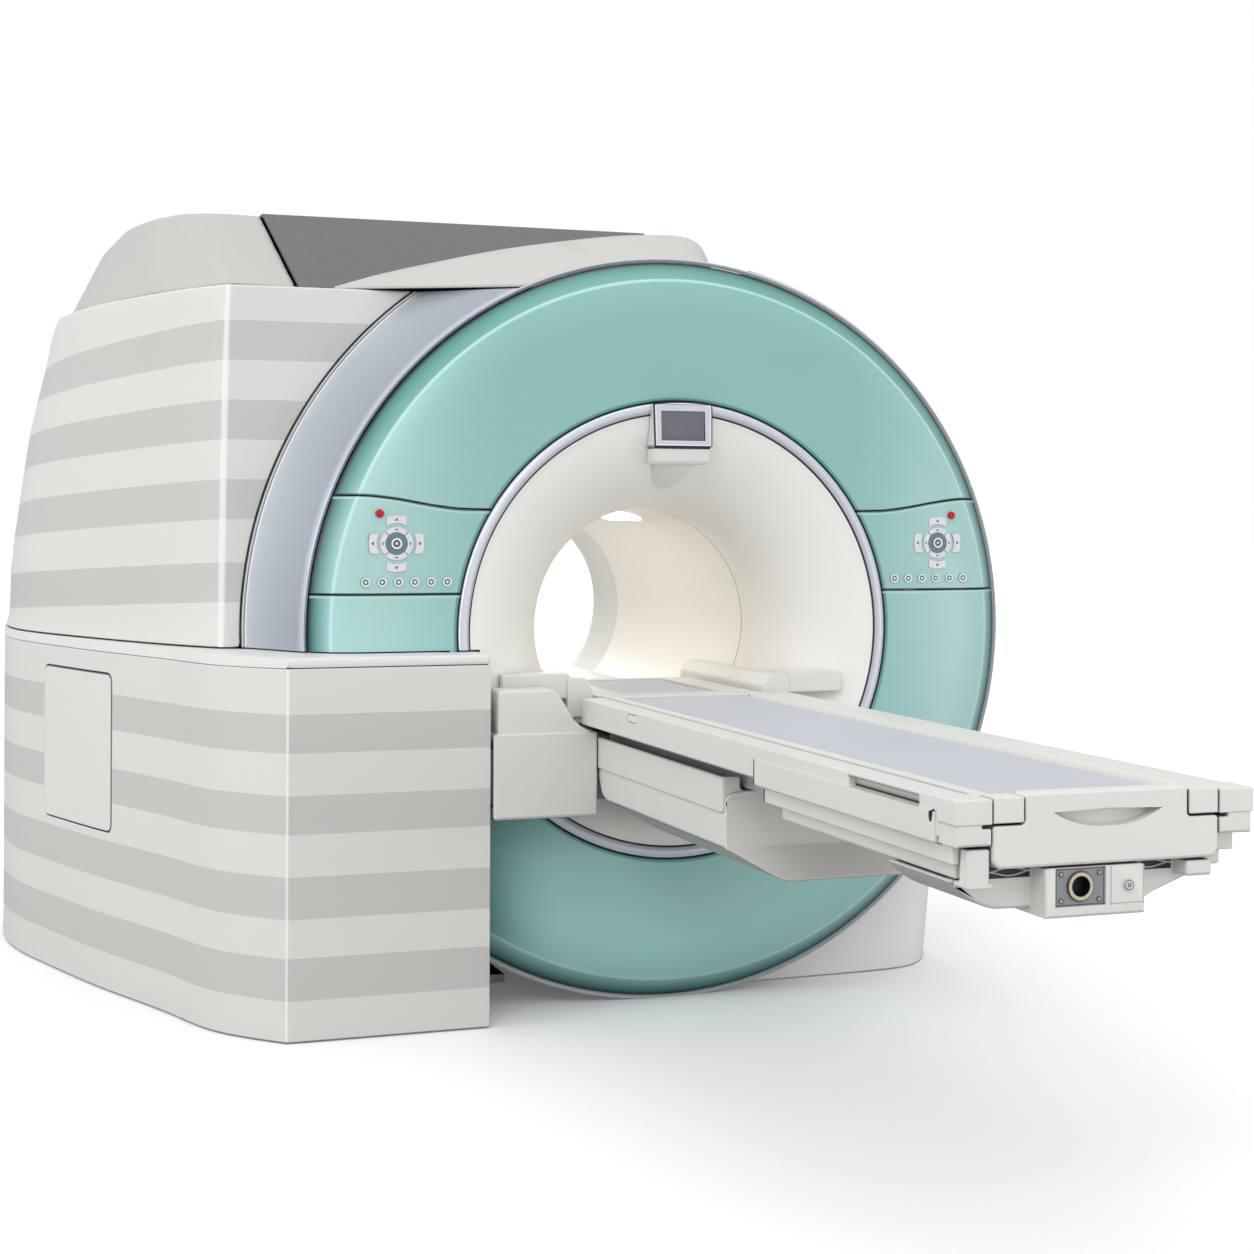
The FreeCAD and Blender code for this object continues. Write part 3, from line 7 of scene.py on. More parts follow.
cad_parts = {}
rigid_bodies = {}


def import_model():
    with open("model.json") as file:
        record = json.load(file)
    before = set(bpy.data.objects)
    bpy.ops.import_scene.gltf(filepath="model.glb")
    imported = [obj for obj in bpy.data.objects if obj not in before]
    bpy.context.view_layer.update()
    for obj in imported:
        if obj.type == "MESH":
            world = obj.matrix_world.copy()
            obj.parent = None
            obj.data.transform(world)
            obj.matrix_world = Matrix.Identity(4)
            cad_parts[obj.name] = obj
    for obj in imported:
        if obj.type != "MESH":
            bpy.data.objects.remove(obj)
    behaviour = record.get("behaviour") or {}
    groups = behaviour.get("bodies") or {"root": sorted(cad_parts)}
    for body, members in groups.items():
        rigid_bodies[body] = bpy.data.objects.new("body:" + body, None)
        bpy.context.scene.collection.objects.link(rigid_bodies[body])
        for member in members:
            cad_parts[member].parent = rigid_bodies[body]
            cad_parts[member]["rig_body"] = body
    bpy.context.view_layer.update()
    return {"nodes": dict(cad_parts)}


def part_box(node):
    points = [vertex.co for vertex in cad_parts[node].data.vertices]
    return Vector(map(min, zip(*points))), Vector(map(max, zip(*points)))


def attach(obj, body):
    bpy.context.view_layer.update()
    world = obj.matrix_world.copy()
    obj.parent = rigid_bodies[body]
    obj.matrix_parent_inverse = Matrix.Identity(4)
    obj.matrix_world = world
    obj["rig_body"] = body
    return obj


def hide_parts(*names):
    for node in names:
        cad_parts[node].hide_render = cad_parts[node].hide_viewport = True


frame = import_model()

nodes = frame["nodes"]
scene = bpy.context.scene
ISO = 0.950          # ring plane to isocentre, along Y
BZ = 1.073           # height of the bore's axis


# ------------------------------------------------------------------ node helpers
class Graph:
    """A small builder for node materials."""

    def __init__(self, name):
        self.mat = bpy.data.materials.new(name)
        self.mat.use_nodes = True
        self.tree = self.mat.node_tree
        self.tree.nodes.clear()
        self.out = self.add("ShaderNodeOutputMaterial")
        self.bsdf = self.add("ShaderNodeBsdfPrincipled")
        self.link(self.bsdf.outputs[0], self.out.inputs[0])
        self.coord = self.add("ShaderNodeTexCoord").outputs["Object"]

    def add(self, kind, **props):
        n = self.tree.nodes.new(kind)
        for k, v in props.items():
            setattr(n, k, v)
        return n

    def link(self, a, b):
        self.tree.links.new(a, b)

    def put(self, socket, value):
        if hasattr(value, "is_output"):
            self.link(value, socket)
        else:
            socket.default_value = value

    def math(self, op, a, b=0.0, c=0.0):
        n = self.add("ShaderNodeMath", operation=op)
        for s, val in zip(n.inputs, (a, b, c)):
            self.put(s, val)
        return n.outputs[0]

    def xyz(self):
        n = self.add("ShaderNodeSeparateXYZ")
        self.link(self.coord, n.inputs[0])
        return n.outputs

    def noise(self, scale, detail=3.0, rough=0.5, stretch=None):
        n = self.add("ShaderNodeTexNoise")
        n.inputs["Scale"].default_value = scale
        n.inputs["Detail"].default_value = detail
        n.inputs["Roughness"].default_value = rough
        src = self.coord
        if stretch:
            m = self.add("ShaderNodeVectorMath", operation="MULTIPLY")
            self.link(src, m.inputs[0])
            m.inputs[1].default_value = stretch
            src = m.outputs[0]
        self.link(src, n.inputs["Vector"])
        return n.outputs[0]

    def ramp(self, fac, stops, mode="LINEAR"):
        n = self.add("ShaderNodeValToRGB")
        n.color_ramp.interpolation = mode
        els = n.color_ramp.elements
        while len(els) > 1:
            els.remove(els[-1])
        els[0].position, els[0].color = stops[0][0], (*stops[0][1], 1)
        for p, c in stops[1:]:
            e = els.new(p)
            e.color = (*c, 1)
        self.link(fac, n.inputs[0])
        return n.outputs[0]

    def mix(self, fac, a, b, blend="MIX"):
        n = self.add("ShaderNodeMix", data_type="RGBA", blend_type=blend)
        self.put(n.inputs[0], fac)
        for s, val in ((n.inputs[6], a), (n.inputs[7], b)):
            self.put(s, val if hasattr(val, "is_output") else (*val, 1))
        return n.outputs[2]

    def remap(self, value, lo, hi, to_lo, to_hi, smooth=False):
        n = self.add("ShaderNodeMapRange")
        if smooth:
            n.interpolation_type = "SMOOTHSTEP"
        for i, val in enumerate((value, lo, hi, to_lo, to_hi)):
            self.put(n.inputs[i], val)
        return n.outputs[0]

    def bump(self, height, distance, strength=1.0, before=None):
        n = self.add("ShaderNodeBump")
        n.inputs["Strength"].default_value = strength
        n.inputs["Distance"].default_value = distance
        self.link(height, n.inputs["Height"])
        if before is not None:
            self.link(before, n.inputs["Normal"])
        return n.outputs[0]

    def gauss(self, value, centre, half):
        """1 on a line at this value, falling to 0 at half a width from it."""
        d = self.math("ABSOLUTE", self.math("SUBTRACT", value, centre))
        return self.remap(d, half * 0.35, half, 1.0, 0.0, True)

    def disc(self, x, z, cx, cz):
        """Distance in the XZ plane from a point."""
        dx, dz = self.math("SUBTRACT", x, cx), self.math("SUBTRACT", z, cz)
        return self.math("SQRT", self.math("ADD", self.math("MULTIPLY", dx, dx),
                                           self.math("MULTIPLY", dz, dz)))

    def inside(self, value, lo, hi, edge=0.0003):
        """1 between lo and hi, 0 outside."""
        a = self.remap(value, lo - edge, lo + edge, 0.0, 1.0)
        b = self.remap(value, hi - edge, hi + edge, 1.0, 0.0)
        return self.math("MULTIPLY", a, b)

    def normal(self, which="True Normal"):
        n = self.add("ShaderNodeSeparateXYZ")
        self.link(self.add("ShaderNodeNewGeometry").outputs[which], n.inputs[0])
        return n.outputs

    def gap(self, colour, reach=0.012, dark=(0.02, 0.022, 0.024), lo=0.12, hi=0.55):
        """Painted shade: deep grooves between two covers are darkened by ambient occlusion until they go near black."""
        n = self.add("ShaderNodeAmbientOcclusion", samples=6)
        n.inputs["Distance"].default_value = reach
        return self.mix(self.remap(n.outputs["AO"], lo, hi, 0.0, 1.0, True), dark, colour)

    def finish(self, colour, rough, normal=None, metallic=0.0, coat=0.0, coat_rough=0.1,
               specular=0.5, sheen=0.0, sub=0.0):
        b = self.bsdf.inputs
        self.put(b["Base Color"], colour if hasattr(colour, "is_output") else (*colour, 1))
        self.put(b["Roughness"], rough)
        b["Metallic"].default_value = metallic
        b["Coat Weight"].default_value = coat
        b["Coat Roughness"].default_value = coat_rough
        b["Specular IOR Level"].default_value = specular
        b["Sheen Weight"].default_value = sheen
        if normal is not None:
            self.link(normal, b["Normal"])
        return self.mat


def srgb(r, g, b):
    def f(c):
        c /= 255.0
        return c / 12.92 if c <= 0.04045 else ((c + 0.055) / 1.055) ** 2.4
    return (f(r), f(g), f(b))


def moulded(name, colour, rough=0.42, grain=0.00012, scale=420.0, cloud=0.03, coat=0.0,
            specular=0.5, metallic=0.0, groove=0.0, under=None, rim=None):
    """Painted or moulded cover: a faint cloud in the colour, fine orange peel, and where asked, painted shade on its
    downward faces and in its grooves.
    """
    g = Graph(name)
    soft = g.noise(2.3, 2.0)
    low = tuple(c * (1 - cloud) for c in colour)
    high = tuple(min(1.0, c * (1 + cloud)) for c in colour)
    col = g.mix(soft, low, high)
    # painted shade: faces that point downward take the darker underside colour
    if under is not None:
        downward_shade = g.remap(g.normal()[2], -0.75, -0.12, 1.0, 0.0, True)
        col = g.mix(downward_shade, col, under)
    if rim is not None:
        # a dark line along the edge of a rounded rectangle in the side view
        y0, y1, z0, z1, r, wide = rim
        x, y, z = g.xyz()
        dy = g.math("SUBTRACT", g.math("ABSOLUTE", g.math("SUBTRACT", y, (y0 + y1) / 2)), (y1 - y0) / 2 - r)
        dz = g.math("SUBTRACT", g.math("ABSOLUTE", g.math("SUBTRACT", z, (z0 + z1) / 2)), (z1 - z0) / 2 - r)
        dy, dz = g.math("MAXIMUM", dy, 0.0), g.math("MAXIMUM", dz, 0.0)
        d = g.math("SQRT", g.math("ADD", g.math("MULTIPLY", dy, dy), g.math("MULTIPLY", dz, dz)))
        col = g.mix(g.remap(d, r - wide, r - wide + 0.0008, 0.0, 0.85), col, srgb(62, 63, 64))
    # painted shade in the grooves between covers
    if groove:
        col = g.gap(col, groove)
    peel = g.noise(scale, 2.0, 0.6)
    wave = g.noise(9.0, 1.0, 0.4)
    n1 = g.bump(wave, 0.0012, 0.25)
    n2 = g.bump(peel, grain, 0.5, n1)
    r = g.remap(g.noise(38.0, 3.0), 0.3, 0.7, rough - 0.04, rough + 0.05)
    return g.finish(col, r, n2, metallic=metallic, coat=coat, coat_rough=0.18, specular=specular)


LIGHT = srgb(220, 219, 216)
DARK = srgb(197, 197, 194)
EDGES_LOW = [0.0, 0.112, 0.219, 0.327, 0.434, 0.544, 0.654, 0.763, 0.871]
EDGES_HIGH = [1.011, 1.153, 1.264, 1.379, 1.494, 1.606, 1.720, 1.833, 1.948]


def striped(name, rough=0.44):
    """Light cover with darker horizontal bands, printed by height, with a painted highlight along its rounded corner
    and painted shade in its grooves.
    """
    g = Graph(name)
    x, y, z = g.xyz()
    back = g.math("MAXIMUM", g.math("SUBTRACT", y, 0.300 - ISO), 0.0)
    upper = g.math("GREATER_THAN", z, 1.008)
    z = g.math("ADD", z, g.math("MULTIPLY", g.math("MULTIPLY", back, 0.055), upper))
    stops = []
    for i, e in enumerate(EDGES_LOW + [0.994] + EDGES_HIGH):
        if e == 0.994:
            stops.append((e / 2.4, LIGHT))
            continue
        k = i if e < 0.99 else i - len(EDGES_LOW) - 1
        stops.append((e / 2.4, LIGHT if k % 2 == 0 else DARK))
    banded = g.ramp(g.math("DIVIDE", z, 2.4), stops, "CONSTANT")
    soft = g.noise(1.7, 2.0)
    col = g.mix(g.remap(soft, 0.2, 0.8, 0.0, 0.05), banded, srgb(205, 203, 200))
    # painted highlight along the rounded front corner, where the normal turns between front and side
    corner_highlight = g.gauss(g.normal("Normal")[0], -0.42, 0.30)
    col = g.mix(g.math("MULTIPLY", corner_highlight, 0.62), col, srgb(250, 250, 248))
    # painted shade in the grooves
    col = g.gap(col, 0.010)
    peel = g.noise(420.0, 2.0, 0.6)
    n1 = g.bump(g.noise(6.0, 1.0, 0.4), 0.0012, 0.25)
    n2 = g.bump(peel, 0.00012, 0.5, n1)
    r = g.remap(g.noise(30.0, 3.0), 0.3, 0.7, rough - 0.04, rough + 0.05)
    return g.finish(col, r, n2, specular=0.45)


def teal():
    """Satin teal: a painted highlight along the crease, a darker rim deepened by painted shade, dark seam lines whose
    walls take painted shade, and painted light across the face.
    """
    g = Graph("teal_satin")
    x, y, z = g.xyz()
    r = g.disc(x, z, 0.0, BZ)
    depth = g.math("ADD", y, ISO)
    ax = g.math("ABSOLUTE", x)
    body = g.mix(g.noise(1.6, 2.0), srgb(136, 185, 182), srgb(143, 191, 187))
    # painted light: the face goes lighter toward its left and right edges
    body = g.mix(g.remap(ax, 0.50, 1.0, 0.0, 0.85, True), body, srgb(176, 215, 212))
    # painted light: the face goes lighter toward the bottom
    low = g.remap(z, 0.62, 0.10, 0.0, 1.0, True)
    body = g.mix(g.math("MULTIPLY", low, 0.9), body, srgb(160, 208, 204))
    # painted shade: deeper green low on the face toward the pillar
    near = g.math("MULTIPLY", g.remap(x, -0.34, -0.62, 0.0, 0.85, True), g.remap(z, 0.98, 0.80, 0.0, 1.0, True))
    body = g.mix(near, body, srgb(82, 142, 137))
    # bevel from the crease to the rim: darker paint, deepened toward the rim by painted shade, in other painted tones
    # over the top of the disc than on its sides
    edge = g.remap(r, 1.013, 1.060, 0.0, 1.0)
    side = g.ramp(edge, [(0.0, srgb(158, 199, 198)), (0.35, srgb(126, 176, 174)),
                         (0.8, srgb(74, 128, 125)), (1.0, srgb(30, 70, 70))])
    over = g.ramp(edge, [(0.0, srgb(112, 172, 162)), (0.5, srgb(98, 160, 150)),
                         (0.85, srgb(76, 134, 126)), (1.0, srgb(30, 72, 70))])
    bevel_paint_and_shade = g.mix(g.remap(z, 1.25, 1.85, 0.0, 1.0, True), side, over)
    col = g.mix(g.remap(r, 1.0125, 1.0145, 0.0, 1.0), body, bevel_paint_and_shade)
    # painted highlight along the crease
    col = g.mix(g.math("MULTIPLY", g.gauss(r, 1.0095, 0.0065), 0.6), col, srgb(200, 232, 231))
    # rolled inner edge beside the trim ring: painted shade across its roll, then a dark joint
    col = g.mix(g.remap(r, 0.6725, 0.6660, 0.0, 1.0, True), col, srgb(88, 150, 141))
    col = g.mix(g.remap(r, 0.6628, 0.6606, 0.0, 1.0), col, srgb(10, 34, 38))
    col = g.mix(g.remap(r, 1.0592, 1.0612, 0.0, 1.0), col, srgb(16, 40, 52))
    wide = g.remap(ax, 0.62, 0.94, 1.4175, 1.4560, True)
    seams = g.math("MAXIMUM", g.gauss(g.math("SUBTRACT", z, wide), 0.0, 0.0064), g.gauss(z, 1.1830, 0.0060))
    seams = g.math("MULTIPLY", seams, g.math("GREATER_THAN", ax, 0.30))
    # painted highlight along the lower lip of each seam
    lit = g.math("MAXIMUM", g.gauss(g.math("SUBTRACT", z, wide), -0.0078, 0.0046), g.gauss(z, 1.1752, 0.0046))
    lit = g.math("MULTIPLY", lit, g.math("GREATER_THAN", ax, 0.30))
    col = g.mix(g.math("MULTIPLY", lit, 0.45), col, srgb(196, 230, 228))
    col = g.mix(g.math("MULTIPLY", seams, 0.9), col, srgb(14, 58, 58))
    bezel = g.disc(ax, z, KNOB[0], KNOB[1])
    col = g.mix(g.remap(bezel, 0.0312, 0.0304, 0.0, 1.0), col, srgb(96, 126, 132))
    # painted shade: the walls of the seams and of the openings, set back behind the face, go near black
    bend = g.math("MAXIMUM", g.math("SUBTRACT", r, 0.900), 0.0)
    p1 = g.math("MULTIPLY", g.math("MULTIPLY", bend, bend), 2.03)
    p2 = g.math("ADD", 0.025, g.math("MULTIPLY", g.math("SUBTRACT", r, 1.011), 0.912))
    late = g.math("GREATER_THAN", r, 1.011)
    prof = g.math("ADD", g.math("MULTIPLY", p1, g.math("SUBTRACT", 1.0, late)),
                  g.math("MULTIPLY", p2, late))
    wall = g.remap(g.math("SUBTRACT", depth, prof), 0.0016, 0.0026, 0.0, 1.0)
    col = g.mix(wall, col, srgb(0, 42, 42))
    peel = g.noise(520.0, 2.0, 0.6)
    n1 = g.bump(g.noise(5.0, 1.0, 0.4), 0.0015, 0.3)
    n2 = g.bump(peel, 0.0001, 0.45, n1)
    rough = g.remap(g.noise(24.0, 3.0), 0.3, 0.7, 0.34, 0.42)
    return g.finish(col, rough, n2, coat=0.15, coat_rough=0.25, specular=0.4)


def metal(name, colour, rough=0.3, brush=(1.0, 60.0, 1.0)):
    g = Graph(name)
    streak = g.noise(30.0, 4.0, 0.7, brush)
    col = g.mix(streak, tuple(c * 0.86 for c in colour), colour)
    n = g.bump(streak, 0.00012, 0.5)
    r = g.remap(streak, 0.25, 0.75, rough - 0.07, rough + 0.1)
    return g.finish(col, r, n, metallic=1.0)


def funnel():
    """Off-white flare, near black in the two joints beside the trim ring."""
    g = Graph("funnel_white")
    x, y, z = g.xyz()
    r = g.disc(x, z, 0.0, BZ)
    col = g.mix(g.noise(2.1, 2.0), srgb(238, 237, 233), srgb(243, 241, 237))
    col = g.mix(g.remap(r, 0.47, 0.36, 0.0, 0.8, True), col, srgb(240, 236, 226))
    col = g.mix(g.gauss(g.math("ADD", y, ISO), 0.3690, 0.0030), col, srgb(150, 146, 138))
    col = g.mix(g.inside(r, 0.6212, 0.6262), col, srgb(24, 26, 30))
    col = g.mix(g.remap(r, 0.6545, 0.6555, 0.0, 1.0), col, srgb(10, 14, 16))
    n1 = g.bump(g.noise(7.0, 1.0, 0.4), 0.0012, 0.25)
    n2 = g.bump(g.noise(420.0, 2.0, 0.6), 0.0001, 0.45, n1)
    rr = g.remap(g.noise(30.0, 3.0), 0.3, 0.7, 0.34, 0.42)
    return g.finish(col, rr, n2, coat=0.1, coat_rough=0.2, specular=0.45)


def bore_liner():
    """Warm white bore wall, with the fine joint lines of its liner."""
    g = Graph("bore_cream")
    x, y, z = g.xyz()
    depth = g.math("ADD", y, ISO)
    col = g.mix(g.noise(1.8, 2.0), srgb(243, 240, 232), srgb(247, 244, 237))
    lines = g.math("MAXIMUM", g.gauss(depth, 0.3700, 0.0030), g.gauss(depth, 1.5600, 0.0035))
    col = g.mix(g.math("MULTIPLY", lines, 0.85), col, srgb(158, 152, 140))
    n1 = g.bump(g.noise(7.0, 1.0, 0.4), 0.0010, 0.25)
    n2 = g.bump(g.noise(420.0, 2.0, 0.6), 0.0001, 0.45, n1)
    rr = g.remap(g.noise(30.0, 3.0), 0.3, 0.7, 0.32, 0.40)
    return g.finish(col, rr, n2, coat=0.15, coat_rough=0.2, specular=0.45)


def ring_trim():
    """Silver trim ring: bright along its outer edge, darker at its inner one."""
    g = Graph("trim_ring_silver")
    x, y, z = g.xyz()
    r = g.disc(x, z, 0.0, BZ)
    k = g.remap(r, 0.6256, 0.6559, 0.0, 1.0)
    col = g.ramp(k, [(0.0, srgb(60, 64, 74)), (0.06, srgb(198, 201, 212)), (0.5, srgb(208, 211, 221)),
                     (0.82, srgb(214, 218, 228)), (0.90, srgb(248, 250, 252)), (1.0, srgb(150, 156, 168))])
    col = g.mix(g.math("MULTIPLY", g.noise(5.0, 3.0), 0.12), col, srgb(170, 176, 190))
    n = g.bump(g.noise(600.0, 2.0, 0.6), 0.00006, 0.4)
    rr = g.remap(g.noise(40.0, 3.0), 0.3, 0.7, 0.28, 0.36)
    return g.finish(col, rr, n, metallic=0.25, coat=0.2, coat_rough=0.2)


def band_paint():
    """Silver-blue side wall of the drum, its front lip white, its joint to the body dark."""
    g = Graph("band_paint")
    x, y, z = g.xyz()
    r = g.disc(x, z, 0.0, BZ)
    depth = g.math("ADD", y, ISO)
    k = g.remap(depth, 0.070, 0.300, 0.0, 1.0)
    col = g.ramp(k, [(0.0, srgb(196, 201, 210)), (0.05, srgb(184, 190, 200)), (0.10, srgb(154, 161, 173)),
                     (0.45, srgb(162, 169, 180)), (0.80, srgb(178, 184, 193)), (0.900, srgb(190, 195, 203)),
                     (0.918, srgb(196, 200, 207)), (0.928, srgb(236, 239, 243)), (0.948, srgb(232, 235, 240)),
                     (0.956, srgb(22, 24, 28)), (1.0, srgb(20, 22, 26))])
    col = g.mix(g.math("MULTIPLY", g.noise(3.0, 3.0), 0.25), col, srgb(172, 178, 188))
    n1 = g.bump(g.noise(5.0, 1.0, 0.4), 0.0012, 0.25)
    n2 = g.bump(g.noise(520.0, 2.0, 0.6), 0.0001, 0.45, n1)
    rr = g.remap(g.noise(30.0, 3.0), 0.3, 0.7, 0.34, 0.42)
    return g.finish(col, rr, n2, metallic=0.1, coat=0.2, coat_rough=0.2)


def display_shell():
    """Silver head with a dark joint round it, over a white chin and nose."""
    g = Graph("display_shell")
    x, y, z = g.xyz()
    nx, ny, nz = g.normal()
    ax = g.math("ABSOLUTE", x)
    silver = g.mix(g.noise(6.0, 3.0, 0.5, (1.0, 1.0, 7.0)), srgb(196, 199, 210), srgb(212, 214, 223))
    white = g.mix(g.noise(5.0, 2.0), srgb(222, 221, 218), srgb(230, 229, 225))
    head = g.remap(z, 1.5965, 1.5975, 0.0, 1.0)
    col = g.mix(head, white, silver)
    side = g.math("MULTIPLY", g.math("GREATER_THAN", g.math("ABSOLUTE", nx), 0.86), head)
    col = g.mix(side, col, srgb(216, 216, 214))
    # dark joint round the front face, with a painted highlight as a light lip inside it
    top = g.math("SUBTRACT", 1.7288, g.math("MULTIPLY", g.math("MULTIPLY", ax, ax), 0.82))
    rim = g.math("MAXIMUM", g.math("SUBTRACT", ax, g.remap(z, 1.6030, 1.7225, 0.0880, 0.0900)),
                 g.math("SUBTRACT", z, top))
    rim = g.math("MAXIMUM", rim, g.math("SUBTRACT", 1.5995, z))
    front = g.math("MULTIPLY", g.math("LESS_THAN", ny, -0.80), head)
    col = g.mix(g.math("MULTIPLY", g.inside(rim, -0.0068, -0.0040, 0.0006), front), col, srgb(240, 241, 246))
    col = g.mix(g.math("MULTIPLY", g.remap(rim, -0.0036, -0.0030, 0.0, 1.0), head), col, srgb(26, 28, 34))
    behind = g.math("SUBTRACT", y, g.remap(z, 1.602, 1.722, -0.984, -0.977))
    col = g.mix(g.math("MULTIPLY", g.remap(behind, 0.0040, 0.0050, 0.0, 1.0), side), col, srgb(216, 216, 214))
    col = g.mix(g.inside(z, 1.5940, 1.5990), col, srgb(20, 22, 26))
    # frame of the screen's window
    win = g.math("MULTIPLY", g.inside(ax, -1.0, 0.0672), g.inside(z, 1.6176, 1.7022))
    col = g.mix(win, col, srgb(48, 48, 56))
    n2 = g.bump(g.noise(420.0, 2.0, 0.6), 0.0001, 0.45)
    rr = g.remap(g.noise(30.0, 3.0), 0.3, 0.7, 0.32, 0.4)
    return g.finish(col, rr, n2, coat=0.1, coat_rough=0.2)


def knob_paint():
    """Jog knob: white ring, dark dish, light point in the middle."""
    g = Graph("knob_paint")
    x, y, z = g.xyz()
    r = g.disc(g.math("ABSOLUTE", x), z, KNOB[0], KNOB[1])
    col = g.ramp(g.math("DIVIDE", r, 0.02), [
        (0.0, srgb(238, 240, 242)), (0.17, srgb(226, 229, 232)), (0.24, srgb(54, 62, 66)),
        (0.40, srgb(84, 92, 98)), (0.52, srgb(150, 158, 164)), (0.58, srgb(244, 246, 248)),
        (0.74, srgb(232, 235, 238)), (0.78, srgb(120, 132, 138)), (1.0, srgb(70, 82, 88))])
    rr = g.remap(g.noise(90.0, 3.0), 0.3, 0.7, 0.30, 0.38)
    return g.finish(col, rr, g.bump(g.noise(600.0, 2.0), 0.00005, 0.3), coat=0.2, coat_rough=0.15)


def arrows_paint():
    """Ring and arc keys: lilac white caps, dark flanks, a small dark mark on each."""
    g = Graph("arrow_keys_paint")
    x, y, z = g.xyz()
    depth = g.math("ADD", y, ISO)
    ax = g.math("SUBTRACT", g.math("ABSOLUTE", x), KNOB[0])
    az = g.math("SUBTRACT", z, KNOB[1])
    r = g.math("SQRT", g.math("ADD", g.math("MULTIPLY", ax, ax), g.math("MULTIPLY", az, az)))
    cap = g.mix(g.noise(40.0, 2.0), srgb(218, 213, 222), srgb(228, 224, 230))
    # marks: a bar on each ring quarter and a wedge on each arc
    small = g.math("MINIMUM", g.math("ABSOLUTE", ax), g.math("ABSOLUTE", az))
    bar = g.math("MULTIPLY", g.inside(r, 0.0365, 0.0405), g.remap(small, 0.0040, 0.0046, 1.0, 0.0))
    wedge_w = g.remap(r, 0.0630, 0.0710, 0.0056, 0.0006)
    wedge = g.math("MULTIPLY", g.inside(r, 0.0630, 0.0710),
                   g.remap(g.math("SUBTRACT", small, wedge_w), -0.0002, 0.0004, 1.0, 0.0))
    col = g.mix(g.math("MAXIMUM", bar, wedge), cap, srgb(86, 96, 104))
    flank = g.remap(depth, -0.0006, 0.0004, 0.0, 1.0)
    col = g.mix(flank, col, srgb(58, 84, 88))
    rr = g.remap(g.noise(90.0, 3.0), 0.3, 0.7, 0.34, 0.42)
    return g.finish(col, rr, g.bump(g.noise(600.0, 2.0), 0.00005, 0.3), coat=0.15, coat_rough=0.2)


def keys_paint():
    """Round keys in a row: white ring, dark groove, light middle."""
    g = Graph("round_keys_paint")
    x, y, z = g.xyz()
    depth = g.math("ADD", y, ISO)
    ax = g.math("DIVIDE", g.math("SUBTRACT", g.math("ABSOLUTE", x), KEYS[0]), KEYS[1])
    near = g.math("MULTIPLY", g.math("SUBTRACT", ax, g.math("ROUND", ax)), KEYS[1])
    dz = g.math("SUBTRACT", z, KEYS[2])
    r = g.math("SQRT", g.math("ADD", g.math("MULTIPLY", near, near), g.math("MULTIPLY", dz, dz)))
    col = g.ramp(g.math("DIVIDE", r, 0.016), [
        (0.0, srgb(206, 222, 222)), (0.22, srgb(226, 236, 236)), (0.27, srgb(60, 96, 98)),
        (0.50, srgb(74, 112, 114)), (0.56, srgb(238, 244, 244)), (0.78, srgb(226, 234, 234)),
        (0.83, srgb(60, 104, 104)), (1.0, srgb(40, 80, 80))])
    col = g.mix(g.remap(depth, 0.0006, 0.0014, 0.0, 1.0), col, srgb(30, 70, 70))
    rr = g.remap(g.noise(90.0, 3.0), 0.3, 0.7, 0.32, 0.40)
    return g.finish(col, rr, g.bump(g.noise(600.0, 2.0), 0.00005, 0.3), coat=0.15, coat_rough=0.2)


def socket_paint():
    """Grey cast plate with four screws, a cream ring and a black socket."""
    g = Graph("socket_plate")
    x, y, z = g.xyz()
    r = g.disc(x, z, -0.060, 0.722)
    plate = g.mix(g.noise(60.0, 3.0), srgb(128, 129, 134), srgb(144, 145, 150))
    ax = g.math("ABSOLUTE", g.math("SUBTRACT", x, -0.060))
    az = g.math("ABSOLUTE", g.math("SUBTRACT", z, 0.721))
    border = g.math("MAXIMUM", g.inside(ax, 0.0500, 0.0520), g.inside(az, 0.0325, 0.0345))
    plate = g.mix(border, plate, srgb(70, 71, 76))
    screw = g.disc(ax, az, 0.041, 0.025)
    plate = g.mix(g.inside(screw, 0.0030, 0.0048), plate, srgb(52, 52, 58))
    plate = g.mix(g.remap(screw, 0.0030, 0.0024, 0.0, 1.0), plate, srgb(196, 197, 202))
    plate = g.mix(g.remap(screw, 0.0013, 0.0009, 0.0, 1.0), plate, srgb(60, 60, 64))
    col = g.mix(g.remap(r, 0.0302, 0.0294, 0.0, 1.0), plate, srgb(98, 90, 84))
    col = g.mix(g.remap(r, 0.0262, 0.0256, 0.0, 1.0), col, srgb(196, 186, 162))
    col = g.mix(g.remap(r, 0.0200, 0.0192, 0.0, 1.0), col, srgb(18, 20, 22))
    rr = g.remap(g.noise(80.0, 3.0), 0.3, 0.7, 0.36, 0.46)
    return g.finish(col, rr, g.bump(g.noise(500.0, 2.0), 0.00006, 0.4), metallic=0.2)


def release_paint():
    """Release button: fine rings round a dark middle."""
    g = Graph("release_button_paint")
    x, y, z = g.xyz()
    r = g.disc(x, z, 0.044, 0.719)
    col = g.ramp(g.math("DIVIDE", r, 0.012), [
        (0.0, srgb(214, 214, 212)), (0.14, srgb(206, 206, 204)), (0.18, srgb(70, 70, 70)),
        (0.34, srgb(82, 82, 82)), (0.40, srgb(222, 222, 220)), (0.60, srgb(206, 206, 204)),
        (0.66, srgb(92, 92, 92)), (0.76, srgb(112, 112, 112)), (0.84, srgb(206, 206, 204)), (1.0, srgb(120, 120, 118))])
    rr = g.remap(g.noise(90.0, 3.0), 0.3, 0.7, 0.32, 0.4)
    return g.finish(col, rr, g.bump(g.noise(600.0, 2.0), 0.00005, 0.3))


